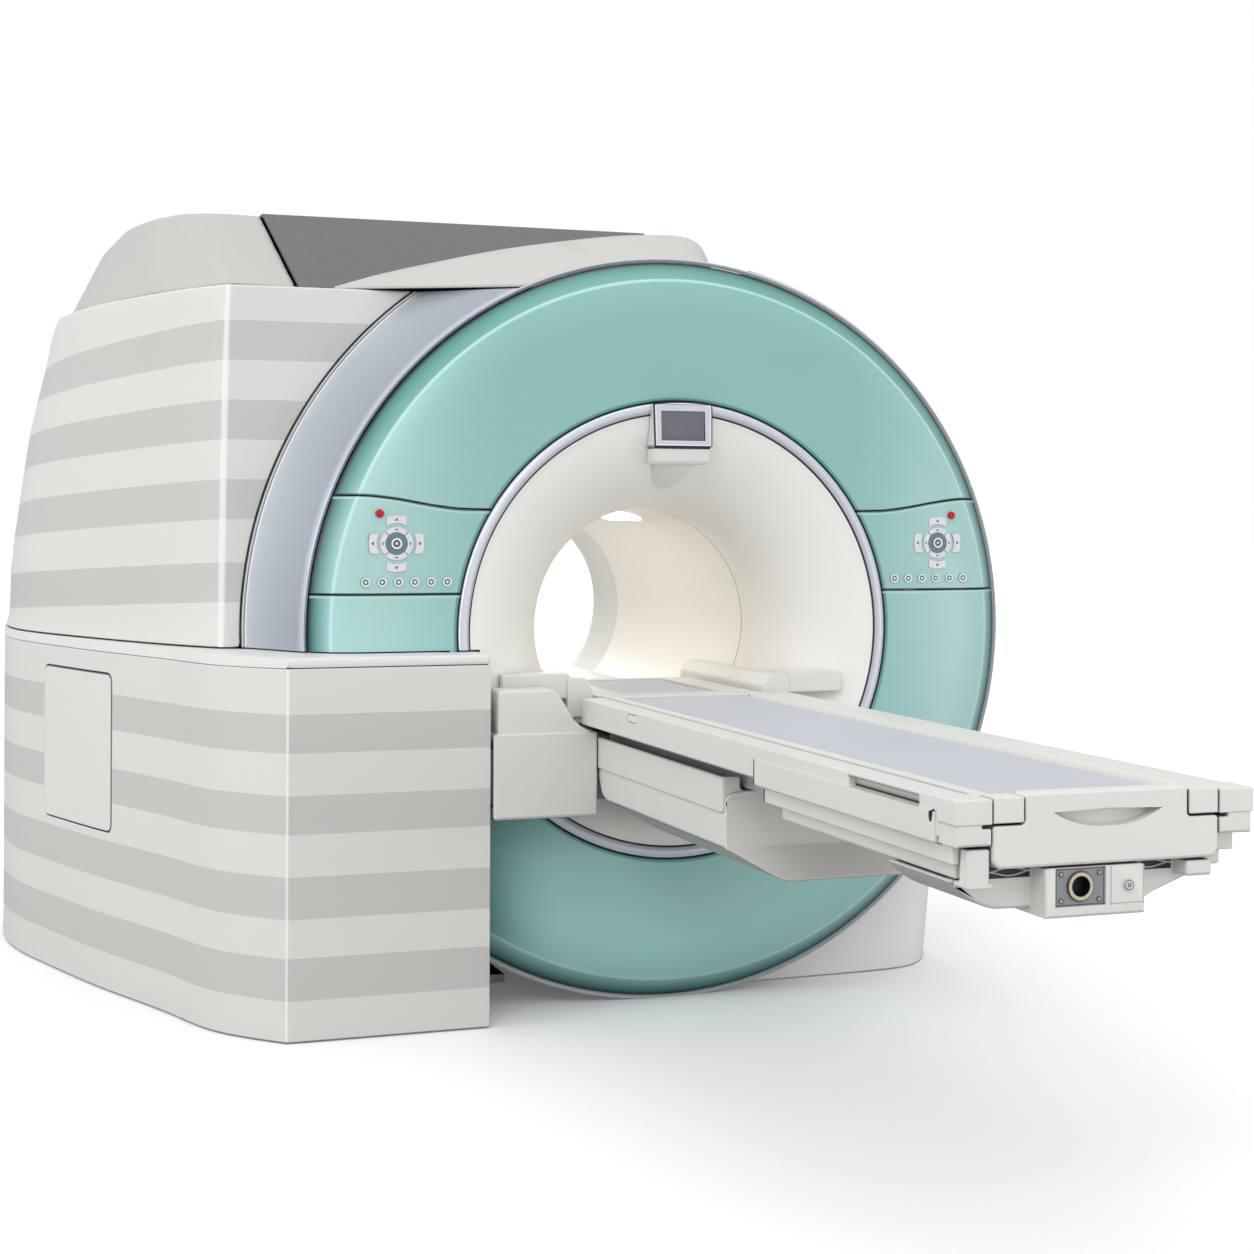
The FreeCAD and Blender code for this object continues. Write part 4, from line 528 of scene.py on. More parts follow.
def foot_paint():
    """Connector housing: off-white, with the fine joint of the button's panel, painted shade on its downward faces, in
    its side recesses and in its grooves.
    """
    g = Graph("foot_paint")
    x, y, z = g.xyz()
    col = g.mix(g.noise(2.3, 2.0), srgb(212, 212, 208), srgb(220, 219, 216))
    # painted shade: faces that point downward go darker
    downward_shade = g.remap(g.normal()[2], -0.75, -0.12, 1.0, 0.0, True)
    col = g.mix(downward_shade, col, srgb(168, 168, 163))
    front = g.remap(y, -3.1925, -3.1935, 0.0, 1.0)
    bx, bz = g.inside(x, 0.0045, 0.0790), g.inside(z, 0.6820, 0.7600)
    lines = g.math("MAXIMUM", g.math("MAXIMUM", g.inside(x, 0.0060, 0.0074), g.inside(x, 0.0764, 0.0778)),
                   g.inside(z, 0.6850, 0.6862))
    col = g.mix(g.math("MULTIPLY", g.math("MULTIPLY", lines, front), g.math("MULTIPLY", bx, bz)), col, srgb(120, 120, 116))
    # painted shade: the recesses on both sides of the box go near black, with the leaf springs painted in them
    behind = g.inside(y, -3.1420, -3.1380, 0.0005)
    shaded_bays = g.math("MAXIMUM", g.inside(x, 0.0835, 0.1750), g.inside(x, -0.2350, -0.1345))
    shaded_bays = g.math("MULTIPLY", g.math("MULTIPLY", shaded_bays, behind), g.inside(z, 0.7345, 0.7590))
    wave = g.math("MULTIPLY", g.math("SINE", g.math("MULTIPLY", x, 62.0)), 0.0042)
    leaf = g.math("MAXIMUM", g.gauss(g.math("SUBTRACT", z, wave), 0.7500, 0.0022),
                  g.gauss(g.math("ADD", z, wave), 0.7430, 0.0020))
    col = g.mix(shaded_bays, col, g.mix(leaf, srgb(30, 30, 30), srgb(176, 176, 172)))
    # painted shade in the grooves
    col = g.gap(col, 0.014)
    n1 = g.bump(g.noise(9.0, 1.0, 0.4), 0.0012, 0.25)
    n2 = g.bump(g.noise(420.0, 2.0, 0.6), 0.00012, 0.5, n1)
    rr = g.remap(g.noise(38.0, 3.0), 0.3, 0.7, 0.38, 0.46)
    return g.finish(col, rr, n2)


HALF_T = 0.320          # half the width of the table over its side beams


def beam_paint():
    """Side beams: table white, painted shade on downward faces and in grooves, a round hole painted near the end with
    painted shade inside, a finger notch painted as a shade line round a painted highlight.
    """
    g = Graph("beam_paint")
    x, y, z = g.xyz()
    depth = g.math("ADD", y, ISO)
    col = g.mix(g.noise(2.3, 2.0), srgb(214, 213, 209), srgb(224, 223, 219))
    # painted shade: faces that point downward go darker
    col = g.mix(g.remap(g.normal()[2], -0.75, -0.12, 1.0, 0.0, True), col, srgb(176, 176, 171))
    # the grab slot: shaded floor, dark under its lip and at its near end
    floor = g.math("MULTIPLY", g.math("LESS_THAN", g.math("ABSOLUTE", x), 0.3030),
                   g.math("MULTIPLY", g.inside(depth, -2.0985, -1.7885), g.inside(z, 0.8610, 0.8850)))
    shade = g.ramp(g.remap(z, 0.862, 0.884, 0.0, 1.0), [
        (0.0, srgb(22, 22, 22)), (0.16, srgb(34, 34, 34)), (0.24, srgb(158, 157, 153)), (0.52, srgb(206, 205, 201)),
        (0.78, srgb(176, 175, 171)), (0.90, srgb(84, 84, 82)), (1.0, srgb(60, 60, 58))])
    col = g.mix(floor, col, shade)
    # round hole painted near the end: a light ring round a near-black middle of painted shade
    oy = g.math("DIVIDE", g.math("SUBTRACT", depth, -2.1560), 0.0075)
    oz = g.math("DIVIDE", g.math("SUBTRACT", z, 0.8535), 0.0125)
    hole = g.math("SQRT", g.math("ADD", g.math("MULTIPLY", oy, oy), g.math("MULTIPLY", oz, oz)))
    col = g.mix(g.remap(hole, 1.32, 1.22, 0.0, 0.7), col, srgb(240, 240, 238))
    col = g.mix(g.remap(hole, 1.04, 0.96, 0.0, 1.0), col, srgb(24, 25, 26))
    # dark joint lines where the lower side covers begin
    ax = g.math("ABSOLUTE", x)
    one = g.math("MULTIPLY", g.math("GREATER_THAN", ax, HALF_T + 0.0015),
                 g.math("MULTIPLY", g.inside(depth, -1.3215, -1.3090), g.inside(z, 0.8000, 0.8625)))
    two = g.math("MULTIPLY", g.math("GREATER_THAN", ax, 0.2980),
                 g.math("MULTIPLY", g.inside(depth, -1.3390, -1.3250), g.inside(z, 0.7650, 0.8030)))
    foot = g.math("MULTIPLY", g.math("GREATER_THAN", ax, 0.3000),
                  g.math("MULTIPLY", g.inside(depth, -2.1700, -1.3300), g.inside(z, 0.7990, 0.8036)))
    col = g.mix(g.math("MAXIMUM", one, two), col, srgb(34, 35, 36))
    col = g.mix(g.math("MULTIPLY", foot, 0.6), col, srgb(92, 92, 90))
    # finger notch: a painted highlight inside, a painted shade line along its rim
    run = g.math("MAXIMUM", g.math("SUBTRACT", depth, -0.4700), 0.0)
    off = g.disc(run, z, 0.0, 0.8740)
    left = g.math("LESS_THAN", x, 0.0)
    part = g.math("MULTIPLY", g.math("MULTIPLY", g.inside(depth, -0.5250, -0.4400), left),
                  g.math("LESS_THAN", g.normal()[0], -0.5))
    col = g.mix(g.math("MULTIPLY", g.remap(off, 0.0096, 0.0080, 0.0, 0.9), part), col, srgb(226, 225, 221))
    col = g.mix(g.math("MULTIPLY", g.gauss(off, 0.0100, 0.0019), part), col, srgb(112, 112, 108))
    # painted shade in the grooves
    col = g.gap(col, 0.014)
    n1 = g.bump(g.noise(9.0, 1.0, 0.4), 0.0012, 0.25)
    n2 = g.bump(g.noise(420.0, 2.0, 0.6), 0.00012, 0.5, n1)
    rr = g.remap(g.noise(38.0, 3.0), 0.3, 0.7, 0.36, 0.45)
    return g.finish(col, rr, n2)


KNOB = (0.833, 1.323)
KEYS = (0.689, 0.046, 1.217)

M = {}
M["teal"] = teal()
M["striped"] = striped("striped_cover")
# Painted shade: covers given a groove reach darken in their grooves; table and keel also darken on their downward
# faces.
M["door"] = moulded("door_cover", srgb(222, 221, 217), rough=0.44, cloud=0.015, groove=0.008,
                    rim=(0.640 - ISO, 1.100 - ISO, 0.467, 0.930, 0.025, 0.0036))
M["light"] = moulded("light_cover", srgb(224, 223, 220), groove=0.010)
M["lid"] = moulded("lid_cover", srgb(230, 229, 226), rough=0.4, groove=0.008)
M["hood"] = moulded("hood_cover", srgb(190, 189, 186), rough=0.42)
M["arch"] = moulded("arch_cover", srgb(196, 195, 191), rough=0.4)
M["skirt"] = moulded("skirt_cover", srgb(240, 239, 236), groove=0.010)
M["funnel"] = funnel()
M["bore"] = bore_liner()
M["band"] = band_paint()
M["rim"] = ring_trim()
M["roof"] = moulded("roof_grey", srgb(102, 102, 102), rough=0.5, specular=0.3)
M["table"] = moulded("table_white", srgb(221, 220, 216), rough=0.4, groove=0.014, under=srgb(176, 176, 171))
M["keel"] = moulded("keel_white", srgb(218, 217, 213), rough=0.42, groove=0.014, under=srgb(172, 172, 166))
M["foot"] = foot_paint()
M["beam"] = beam_paint()
M["bridge"] = moulded("bridge_white", srgb(226, 225, 221), rough=0.4, groove=0.02)
M["display"] = display_shell()
M["keycap"] = moulded("keycap", srgb(196, 212, 212), rough=0.4)
M["knob"] = knob_paint()
M["arrows"] = arrows_paint()
M["keys"] = keys_paint()
M["socket"] = socket_paint()
M["release"] = release_paint()
M["steel"] = metal("satin_steel", (0.55, 0.56, 0.58), 0.34)
M["alloy"] = metal("alloy", (0.60, 0.61, 0.63), 0.38)
M["grey"] = moulded("grey_paint", srgb(120, 122, 125), rough=0.5)
M["copper"] = moulded("coil_resin", srgb(150, 128, 88), rough=0.5)


def screen_glass():
    g = Graph("screen_glass")
    smear = g.noise(14.0, 3.0)
    col = g.mix(smear, srgb(98, 98, 108), srgb(108, 108, 117))
    r = g.remap(smear, 0.3, 0.7, 0.16, 0.24)
    return g.finish(col, r, g.bump(g.noise(700.0, 2.0), 0.00002, 0.3), coat=0.3, coat_rough=0.08)


def stop_red():
    g = Graph("stop_red")
    col = g.mix(g.noise(60.0, 2.0), srgb(186, 8, 12), srgb(200, 14, 16))
    return g.finish(col, 0.38, g.bump(g.noise(300.0, 2.0), 0.00005, 0.3), coat=0.1, coat_rough=0.2,
                    specular=0.25)


def lamp():
    g = Graph("lamp_lens")
    col = g.mix(g.noise(30.0, 2.0), srgb(252, 250, 240), srgb(255, 254, 248))
    g.bsdf.inputs["Emission Color"].default_value = (1.0, 0.96, 0.88, 1)
    g.bsdf.inputs["Emission Strength"].default_value = 2.0
    return g.finish(col, 0.3, g.bump(g.noise(260.0, 2.0), 0.0001, 0.3))


def mat_cover(name="mat_cover"):
    """Grey-blue coated cloth of the mats: fine weave under a soft sheen."""
    g = Graph(name)
    x, y, z = g.xyz()
    col = g.mix(g.noise(3.0, 3.0), srgb(180, 184, 193), srgb(190, 193, 201))
    wx = g.math("SINE", g.math("MULTIPLY", x, 5200.0))
    wy = g.math("SINE", g.math("MULTIPLY", y, 5200.0))
    weave = g.math("MULTIPLY", wx, wy)
    n1 = g.bump(g.noise(11.0, 3.0, 0.55), 0.0016, 0.35)
    n2 = g.bump(weave, 0.00006, 0.25, n1)
    r = g.remap(g.noise(26.0, 3.0), 0.3, 0.7, 0.46, 0.56)
    return g.finish(col, r, n2, sheen=0.15, specular=0.35)


M["screen"] = screen_glass()
M["red"] = stop_red()
M["lamp"] = lamp()
M["mat"] = mat_cover()

ASSIGN = {
    "teal": ["face_panel_top", "face_panel_left", "face_panel_right", "face_panel_bottom"],
    "striped": ["left_base_cover", "left_cover"], "door": ["service_door"],
    "lid": ["pillar_lid"], "hood": ["left_hood"], "arch": ["top_arch_cover"],
    "light": ["right_cover", "rear_cover"], "skirt": ["front_base_cover"],
    "funnel": ["front_funnel"], "bore": ["body_coil"], "rim": ["trim_ring"],
    "band": ["drum_band"], "roof": ["roof_panel"],
    "beam": ["side_beam_left", "side_beam_right"],
    "table": ["end_panel", "tabletop", "bore_carriage", "crossbeam_cover"],
    "keel": ["keel_cover", "drive_cover"], "foot": ["foot_housing"],
    "bridge": ["bore_bridge"], "display": ["display_unit"], "screen": ["display_screen"],
    "steel": ["magnet_vessel", "cold_head"], "socket": ["connector_socket"],
    "release": ["release_button"],
    "knob": ["jog_button_left", "jog_button_right"],
    "arrows": ["arrow_keys_left", "arrow_keys_right"],
    "alloy": ["table_frame", "cold_mass"], "grey": ["lift_column", "lift_carriage"],
    "copper": ["gradient_coil"], "lamp": ["bore_lamp"], "mat": ["table_mat", "head_mat"],
    "red": ["stop_button_left", "stop_button_right"],
}
ASSIGN["keys"] = [n for n in nodes if n.startswith("key_")]
finish_of = {}
for key, names in ASSIGN.items():
    for n in names:
        nodes[n].data.materials.clear()
        nodes[n].data.materials.append(M[key])
        finish_of[n] = M[key]
for n, o in nodes.items():
    if n not in finish_of:
        o.data.materials.clear()
        o.data.materials.append(M["keycap"])
        finish_of[n] = M["keycap"]


def flat_area(bm):
    return sum((b.vert.co - a.vert.co).cross(c.vert.co - a.vert.co).length / 2
               for a, b, c in bm.calc_loop_triangles())


def joined(me, flat):
    """The mesh with its flat triangles joined into whole faces, or None if that goes wrong."""
    bm = bmesh.new()
    bm.from_mesh(me)
    bmesh.ops.remove_doubles(bm, verts=bm.verts, dist=3e-5)
    before = flat_area(bm)
    if flat:
        bmesh.ops.dissolve_limit(bm, angle_limit=math.radians(flat), verts=bm.verts, edges=bm.edges,
                                 use_dissolve_boundaries=False)
        bmesh.ops.connect_verts_concave(bm, faces=bm.faces[:])
        if abs(flat_area(bm) - before) > 0.0004 * before:
            bm.free()
            return joined(me, 0.0)
    return bm


def room_beside(e):
    """How far the narrower of an edge's two faces reaches from it."""
    a, b = e.verts
    d = (b.co - a.co).normalized()
    out = 10.0
    for f in e.link_faces:
        out = min(out, max((v.co - a.co).cross(d).length for v in f.verts))
    return out


# Ring frame, metres: x, y and z ranges whose edges stay as crisp as the CAD has them.
CRISP = {"end_panel": [(-0.125, 0.125, -2.262, -2.218, 0.828, 0.870)],
         "foot_housing": [(-0.118, 0.000, -2.262, -2.195, 0.680, 0.7575),
                          (0.030, 0.058, -2.262, -2.195, 0.705, 0.733)],
         "side_beam_left": [(-0.340, -0.300, -2.172, -2.144, 0.846, 0.872)],
         "side_beam_right": [(0.300, 0.340, -2.172, -2.144, 0.846, 0.872)]}


def crisp(name, e):
    for x0, x1, y0, y1, z0, z1 in CRISP.get(name, []):
        if all(x0 <= v.co.x <= x1 and y0 <= v.co.y + ISO <= y1 and z0 <= v.co.z <= z1 for v in e.verts):
            return True
    return False


def even_normals(me):
    """Every corner takes the direction of the large faces beside it, so that only the
    rounded edges turn the light and the flats stay flat."""
    bm = bmesh.new()
    bm.from_mesh(me)
    bm.faces.ensure_lookup_table()
    bm.normal_update()
    group, size = [-1] * len(bm.faces), []
    near = math.cos(math.radians(0.8))
    for f in bm.faces:
        if group[f.index] >= 0:
            continue
        n, todo, total = len(size), [f], 0.0
        group[f.index] = n
        while todo:
            c = todo.pop()
            total += c.calc_area()
            for e in c.edges:
                for k in e.link_faces:
                    if group[k.index] < 0 and k.normal.dot(c.normal) > near and k.normal.dot(f.normal) > near:
                        group[k.index] = n
                        todo.append(k)
        size.append(total)
    out = [None] * sum(len(f.loops) for f in bm.faces)
    for v in bm.verts:
        seen = set()
        for start in v.link_faces:
            if start in seen:
                continue
            fan, todo = [start], [start]
            seen.add(start)
            while todo:
                c = todo.pop()
                for e in c.edges:
                    if v in e.verts and e.smooth:
                        for k in e.link_faces:
                            if k not in seen:
                                seen.add(k)
                                fan.append(k)
                                todo.append(k)
            loops = [next(l for l in f.loops if l.vert is v) for f in fan]
            n = Vector()
            for f, l in zip(fan, loops):
                n += f.normal * (size[group[f.index]] * max(1e-4, l.calc_angle()))
            n = n.normalized() if n.length > 1e-12 else v.normal.copy()
            for l in loops:
                out[l.index] = n
    bm.free()
    me.normals_split_custom_set([tuple(n) for n in out])


def soften(name, width, segments=2, limit=28.0, flat=0.6):
    """The node's own surface with its edges rounded, the way a moulded cover has them."""
    bm = joined(nodes[name].data, flat)
    weight = bm.edges.layers.float.get("bevel_weight_edge") or bm.edges.layers.float.new("bevel_weight_edge")
    bm.edges.ensure_lookup_table()
    sharp = {e for e in bm.edges if len(e.link_faces) == 2
             and e.calc_face_angle(0.0) > math.radians(limit) and not crisp(name, e)}
    room = {e: room_beside(e) for e in sharp}
    # Edges that run on into each other share one width.
    group, seen = [], set()
    for e in sorted(sharp, key=lambda k: k.index):
        if e in seen:
            continue
        chain, todo = [], [e]
        seen.add(e)
        while todo:
            c = todo.pop()
            chain.append(c)
            for v in c.verts:
                near = [k for k in v.link_edges if k in sharp and k is not c]
                here = (c.other_vert(v).co - v.co).normalized()
                for k in near:
                    there = (k.other_vert(v).co - v.co).normalized()
                    if k not in seen and here.dot(there) < -0.86:
                        seen.add(k)
                        todo.append(k)
        group.append(chain)
    for chain in group:
        vals = sorted(room[k] for k in chain)
        use = min(1.0, 0.42 * vals[len(vals) // 5] / width)
        for k in chain:
            k[weight] = use if use > 0.04 else 0.0
    me = bpy.data.meshes.new(name + "_moulded")
    bm.to_mesh(me)
    bm.free()
    o = bpy.data.objects.new(name + "_moulded", me)
    scene.collection.objects.link(o)
    mod = o.modifiers.new("edge", "BEVEL")
    mod.limit_method = "WEIGHT"
    mod.width = width
    mod.segments = segments
    mod.use_clamp_overlap = False
    mod.miter_outer = "MITER_ARC"
    mod.loop_slide = True
    grid = bpy.context.evaluated_depsgraph_get()
    made = bpy.data.meshes.new_from_object(o.evaluated_get(grid))
    o.modifiers.clear()
    o.data = made
    made.name = o.name
    made.shade_smooth()
    made.set_sharp_from_angle(angle=math.radians(50.0))
    even_normals(made)
    made.materials.clear()
    made.materials.append(finish_of[name])
    for p in made.polygons:
        p.material_index = 0
    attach(o, nodes[name]["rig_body"])
    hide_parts(name)
    return o


SOFT = {"left_cover": 0.018, "left_base_cover": 0.016, "pillar_lid": 0.010, "top_arch_cover": 0.008,
        "right_cover": 0.010, "service_door": 0.003,
        "side_beam_left": 0.005, "side_beam_right": 0.005, "end_panel": 0.007, "tabletop": 0.003,
        "crossbeam_cover": 0.010, "drive_cover": 0.009, "keel_cover": 0.009, "foot_housing": 0.006,
        "display_unit": 0.0022, "bore_bridge": 0.006, "bore_carriage": 0.004}
made = {n: soften(n, w, 3 if n in ("left_cover", "left_base_cover") else 2) for n, w in SOFT.items()}


def smooth_hood():
    """The hood over the cold head: its hull, remeshed and relaxed until every edge is round."""
    me = nodes["left_hood"].data.copy()
    bm = bmesh.new()
    bm.from_mesh(me)
    bmesh.ops.remove_doubles(bm, verts=bm.verts, dist=1e-4)
    for p in ((-1.428, 1.938, 2.318), (-1.416, 1.386, 2.325)):       # its fuller shoulder
        bm.verts.new((p[0], p[1] - ISO, p[2]))
    bmesh.ops.convex_hull(bm, input=bm.verts)
    loose = [v for v in bm.verts if not v.link_faces]
    bmesh.ops.delete(bm, geom=loose, context="VERTS")
    bm.to_mesh(me)
    bm.free()
    o = bpy.data.objects.new("left_hood_moulded", me)
    scene.collection.objects.link(o)
    mod = o.modifiers.new("grid", "REMESH")
    mod.mode = "VOXEL"
    mod.voxel_size = 0.014
    grid = bpy.context.evaluated_depsgraph_get()
    made = bpy.data.meshes.new_from_object(o.evaluated_get(grid))
    o.modifiers.clear()
    bm = bmesh.new()
    bm.from_mesh(made)
    zs = [v.co.z for v in bm.verts]
    lowest = min(zs)
    ymax = max(v.co.y for v in bm.verts)
    xmax = max(v.co.x for v in bm.verts)
    bm.normal_update()
    beside = {v for v in bm.verts if v.co.x > xmax - 0.016}
    for _ in range(9):
        new = {}
        for v in bm.verts:
            k = min(1.0, max(0.0, (v.co.z - lowest - 0.02) / 0.05))
            k *= min(1.0, max(0.0, (ymax - v.co.y) / 0.03))
            k *= 0.12 if v in beside else 1.0
            if k <= 0.0:
                continue
            ring = [e.other_vert(v).co for e in v.link_edges]
            mid = sum(ring, Vector()) / len(ring)
            step = (mid - v.co) * (0.5 * k)
            if v in beside:
                step.x = 0.0
            new[v] = v.co + step
        for v, co in new.items():
            v.co = co
    gone = [f for f in bm.faces if f.calc_center_median().z < lowest + 0.008 and f.normal.z < -0.5]
    bmesh.ops.delete(bm, geom=gone, context="FACES")
    for f in bm.faces:
        f.smooth = True
    bm.to_mesh(made)
    bm.free()
    o.data = made
    made.name = o.name
    shell = o.modifiers.new("wall", "SOLIDIFY")
    shell.thickness = 0.006
    shell.offset = -1.0
    made.materials.clear()
    made.materials.append(finish_of["left_hood"])
    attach(o, nodes["left_hood"]["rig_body"])
    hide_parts("left_hood")
    return o


made["left_hood"] = smooth_hood()


# ---------------------------------------------------------------------------- mats
def pad(node, inset, crown, pitch, cap):
    """A foam mat in its coated cover: a closed form with rolled sides, blown up by the
    cloth solver over a few frames and then held to what the foam allows."""
    lo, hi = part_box(node)
    a, b = (hi.x - lo.x) / 2 - inset, (hi.y - lo.y) / 2 - inset
    mx, my = (hi.x + lo.x) / 2, (hi.y + lo.y) / 2
    z0, z1 = lo.z + 0.0004, hi.z - crown
    nx, ny = max(6, round(2 * a / pitch)), max(6, round(2 * b / pitch))
    rad = 0.022

    def plan(i, j):
        x, y = -a + 2 * a * i / nx, -b + 2 * b * j / ny
        cx, cy = max(-(a - rad), min(a - rad, x)), max(-(b - rad), min(b - rad, y))
        dx, dy = x - cx, y - cy
        size = math.hypot(dx, dy)
        if size > 1e-9:
            k = max(abs(dx), abs(dy)) / size
            x, y = cx + dx * k, cy + dy * k
        return x, y

    bm = bmesh.new()
    rim = [(i, 0) for i in range(nx)] + [(nx, j) for j in range(ny)] \
        + [(i, ny) for i in range(nx, 0, -1)] + [(0, j) for j in range(ny, 0, -1)]
    top, low = {}, {}
    for i in range(nx + 1):
        for j in range(ny + 1):
            x, y = plan(i, j)
            edge = min(1.0, min(a - abs(x), b - abs(y)) / 0.020)
            lift = (z1 - z0) * (0.80 + 0.20 * math.sin(max(0.0, edge) * math.pi / 2))
            top[i, j] = bm.verts.new((mx + x, my + y, z0 + lift))
            low[i, j] = bm.verts.new((mx + x, my + y, z0))
    for i in range(nx):
        for j in range(ny):
            bm.faces.new((top[i, j], top[i + 1, j], top[i + 1, j + 1], top[i, j + 1]))
            bm.faces.new((low[i, j], low[i, j + 1], low[i + 1, j + 1], low[i + 1, j]))
    belt = {}
    for i, j in rim:
        x, y = plan(i, j)
        out = Vector((x - max(-(a - rad), min(a - rad, x)), y - max(-(b - rad), min(b - rad, y)), 0))
        out = out.normalized() if out.length > 1e-9 else Vector((0, 0, 0))
        z = (top[i, j].co.z + z0) / 2
        belt[i, j] = bm.verts.new((mx + x + out.x * inset * 0.7, my + y + out.y * inset * 0.7, z))
    for k, here in enumerate(rim):
        nxt = rim[(k + 1) % len(rim)]
        bm.faces.new((top[nxt], top[here], belt[here], belt[nxt]))
        bm.faces.new((belt[nxt], belt[here], low[here], low[nxt]))
    bmesh.ops.recalc_face_normals(bm, faces=bm.faces)
    me = bpy.data.meshes.new(node + "_pad")
    bm.to_mesh(me)
    bm.free()
    o = bpy.data.objects.new(node + "_pad", me)
    scene.collection.objects.link(o)
    me.materials.append(M["mat"])
    o["cap"], o["floor"], o["ceiling"] = cap, z0, hi.z + 0.002
    return o


def inflate(pads):
    """Runs the cloth on every pad at once, caps what it moved, and leaves a plain mesh."""
    start = {o.name: [v.co.copy() for v in o.data.vertices] for o in pads}
    for o in pads:
        cl = o.modifiers.new("cloth", "CLOTH")
        cs = cl.settings
        cs.quality = 4
        cs.mass = 0.2
        cs.tension_stiffness = cs.compression_stiffness = 18.0
        cs.shear_stiffness = 8.0
        cs.bending_stiffness = 0.6
        cs.use_pressure = True
        cs.uniform_pressure_force = 4.0
        cs.effector_weights.gravity = 0.0
        cl.collision_settings.use_collision = False
        cl.point_cache.frame_start, cl.point_cache.frame_end = 1, 20
    for frame_no in range(1, 21):
        scene.frame_set(frame_no)
    grid = bpy.context.evaluated_depsgraph_get()
    for o in pads:
        blown = bpy.data.meshes.new_from_object(o.evaluated_get(grid))
        o.modifiers.clear()
        cap = o["cap"]
        for v, w, old in zip(o.data.vertices, blown.vertices, start[o.name]):
            step = w.co - old
            if step.length > cap:
                step *= cap / step.length
            v.co = old + step
            v.co.z = min(o["ceiling"], max(o["floor"], v.co.z))
        bpy.data.meshes.remove(blown)
    scene.frame_set(1)
    for o in pads:
        for p in o.data.polygons:
            p.use_smooth = True
        sub = o.modifiers.new("smooth", "SUBSURF")
        sub.levels = sub.render_levels = 1
        for k in ("cap", "floor", "ceiling"):
            del o[k]


pads = [pad("table_mat", 0.0025, 0.0020, 0.016, 0.0030),
        pad("head_mat", 0.0025, 0.0020, 0.012, 0.0030)]
inflate(pads)
for o, n in zip(pads, ("table_mat", "head_mat")):
    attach(o, nodes[n]["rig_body"])
    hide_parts(n)

# ------------------------------------------------------------------------- stage
floor_mesh = bpy.data.meshes.new("floor")
bm = bmesh.new()
for x, y in ((-60, -60), (60, -60), (60, 60), (-60, 60)):
    bm.verts.new((x, y, -0.0005))
bm.faces.new(bm.verts)
bm.to_mesh(floor_mesh)
floor = bpy.data.objects.new("floor", floor_mesh)
scene.collection.objects.link(floor)
g = Graph("floor_pale")
seen = g.add("ShaderNodeLightPath").outputs["Is Camera Ray"]
pale = g.mix(g.noise(0.6, 2.0), (0.90, 0.90, 0.90), (0.93, 0.93, 0.93))
fx, fy, fz = g.xyz()
away = g.disc(fx, g.math("ADD", fy, 1.0), 0.0, 0.0)
glow = g.math("MULTIPLY", seen, g.remap(away, 1.5, 7.0, 0.10, 0.55, True))
g.link(glow, g.bsdf.inputs["Emission Strength"])
g.bsdf.inputs["Emission Color"].default_value = (1.0, 1.0, 1.0, 1)
floor_mesh.materials.append(g.finish(g.mix(seen, (0.50, 0.50, 0.50), pale), 0.6,
                                     g.bump(g.noise(40.0, 2.0), 0.0005, 0.1), specular=0.2))

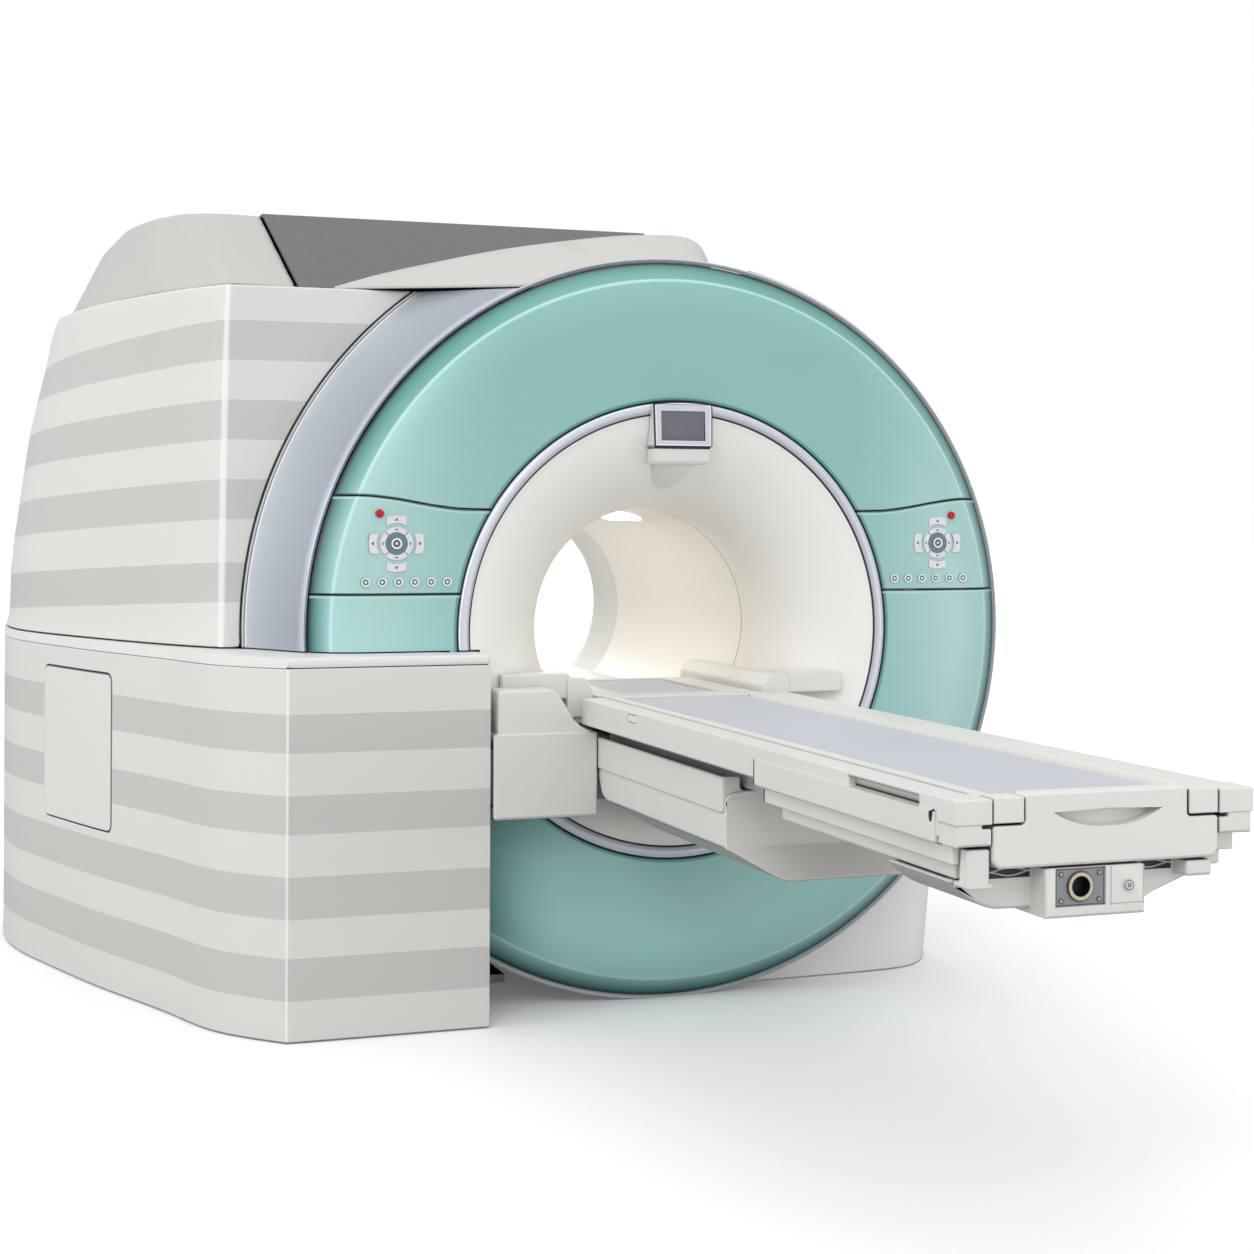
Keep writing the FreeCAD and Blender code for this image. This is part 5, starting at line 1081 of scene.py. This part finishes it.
world = bpy.data.worlds.new("studio")
world.use_nodes = True
wt = world.node_tree
back = wt.nodes["Background"]
ray = wt.nodes.new("ShaderNodeLightPath")
geo = wt.nodes.new("ShaderNodeTexCoord")
sep = wt.nodes.new("ShaderNodeSeparateXYZ")
tall = wt.nodes.new("ShaderNodeMapRange")
pick = wt.nodes.new("ShaderNodeMix")
pick.data_type = "FLOAT"
wt.links.new(geo.outputs["Generated"], sep.inputs[0])
wt.links.new(sep.outputs[2], tall.inputs[0])
for i, v in ((1, -0.15), (2, 0.75), (3, 0.62), (4, 0.92)):
    tall.inputs[i].default_value = v
wt.links.new(ray.outputs["Is Camera Ray"], pick.inputs[0])
wt.links.new(tall.outputs[0], pick.inputs[2])
pick.inputs[3].default_value = 1.0
back.inputs[0].default_value = (1.0, 1.0, 1.0, 1)
wt.links.new(pick.outputs[0], back.inputs[1])
scene.world = world


def area(name, at, to, size, power, colour=(1, 1, 1)):
    d = bpy.data.lights.new(name, "AREA")
    d.shape = "RECTANGLE"
    d.size, d.size_y = size
    d.energy = power
    d.color = colour
    o = bpy.data.objects.new(name, d)
    o.location = at
    o.rotation_euler = (Vector(to) - Vector(at)).to_track_quat("-Z", "Y").to_euler()
    scene.collection.objects.link(o)
    return o


area("key", (-4.5, -7.5, 6.5), (-0.3, -0.8, 1.0), (3.5, 3.5), 150)
area("side", (-7.5, -1.5, 3.2), (-1.2, 0.2, 1.0), (4.0, 3.0), 120)
area("top", (0.5, -1.0, 7.5), (0.0, -0.8, 1.0), (4.0, 4.0), 50)
area("fill", (0.6, -8.5, 1.5), (0.0, 0.0, 1.1), (3.0, 2.4), 42)
area("low", (3.8, -5.6, 0.9), (0.9, -0.7, 0.35), (1.6, 1.2), 26)
area("rear", (0.8, 5.0, 2.4), (0.0, 1.0, 1.1), (3.0, 2.4), 70)
inner = area("bore_glow", (0.0, 0.15, 1.385), (0.0, 0.15, 0.9), (0.30, 1.5), 2.0, (1.0, 0.99, 0.965))
inner.visible_camera = False
inner.visible_glossy = False

# ------------------------------------------------------------------------ camera
F, CX, CY, SIDE = 2100.0, 627.0, 508.0, 1254.0
cam_data = bpy.data.cameras.new("camera")
cam_data.sensor_width = 36.0
cam_data.lens = F / SIDE * 36.0
cam_data.shift_y = (CY - SIDE / 2) / SIDE
cam_data.clip_end = 200.0
cam = bpy.data.objects.new("camera", cam_data)
yaw, roll = math.radians(19.613), math.radians(0.257)
turn = Matrix.Rotation(-yaw, 4, "Z") @ Matrix.Rotation(math.pi / 2, 4, "X") @ Matrix.Rotation(roll, 4, "Z")
cam.matrix_world = Matrix.Translation((-2.1743, -5.6518 - ISO, 1.4237)) @ turn
scene.collection.objects.link(cam)
scene.camera = cam
scene.view_settings.view_transform = "Standard"
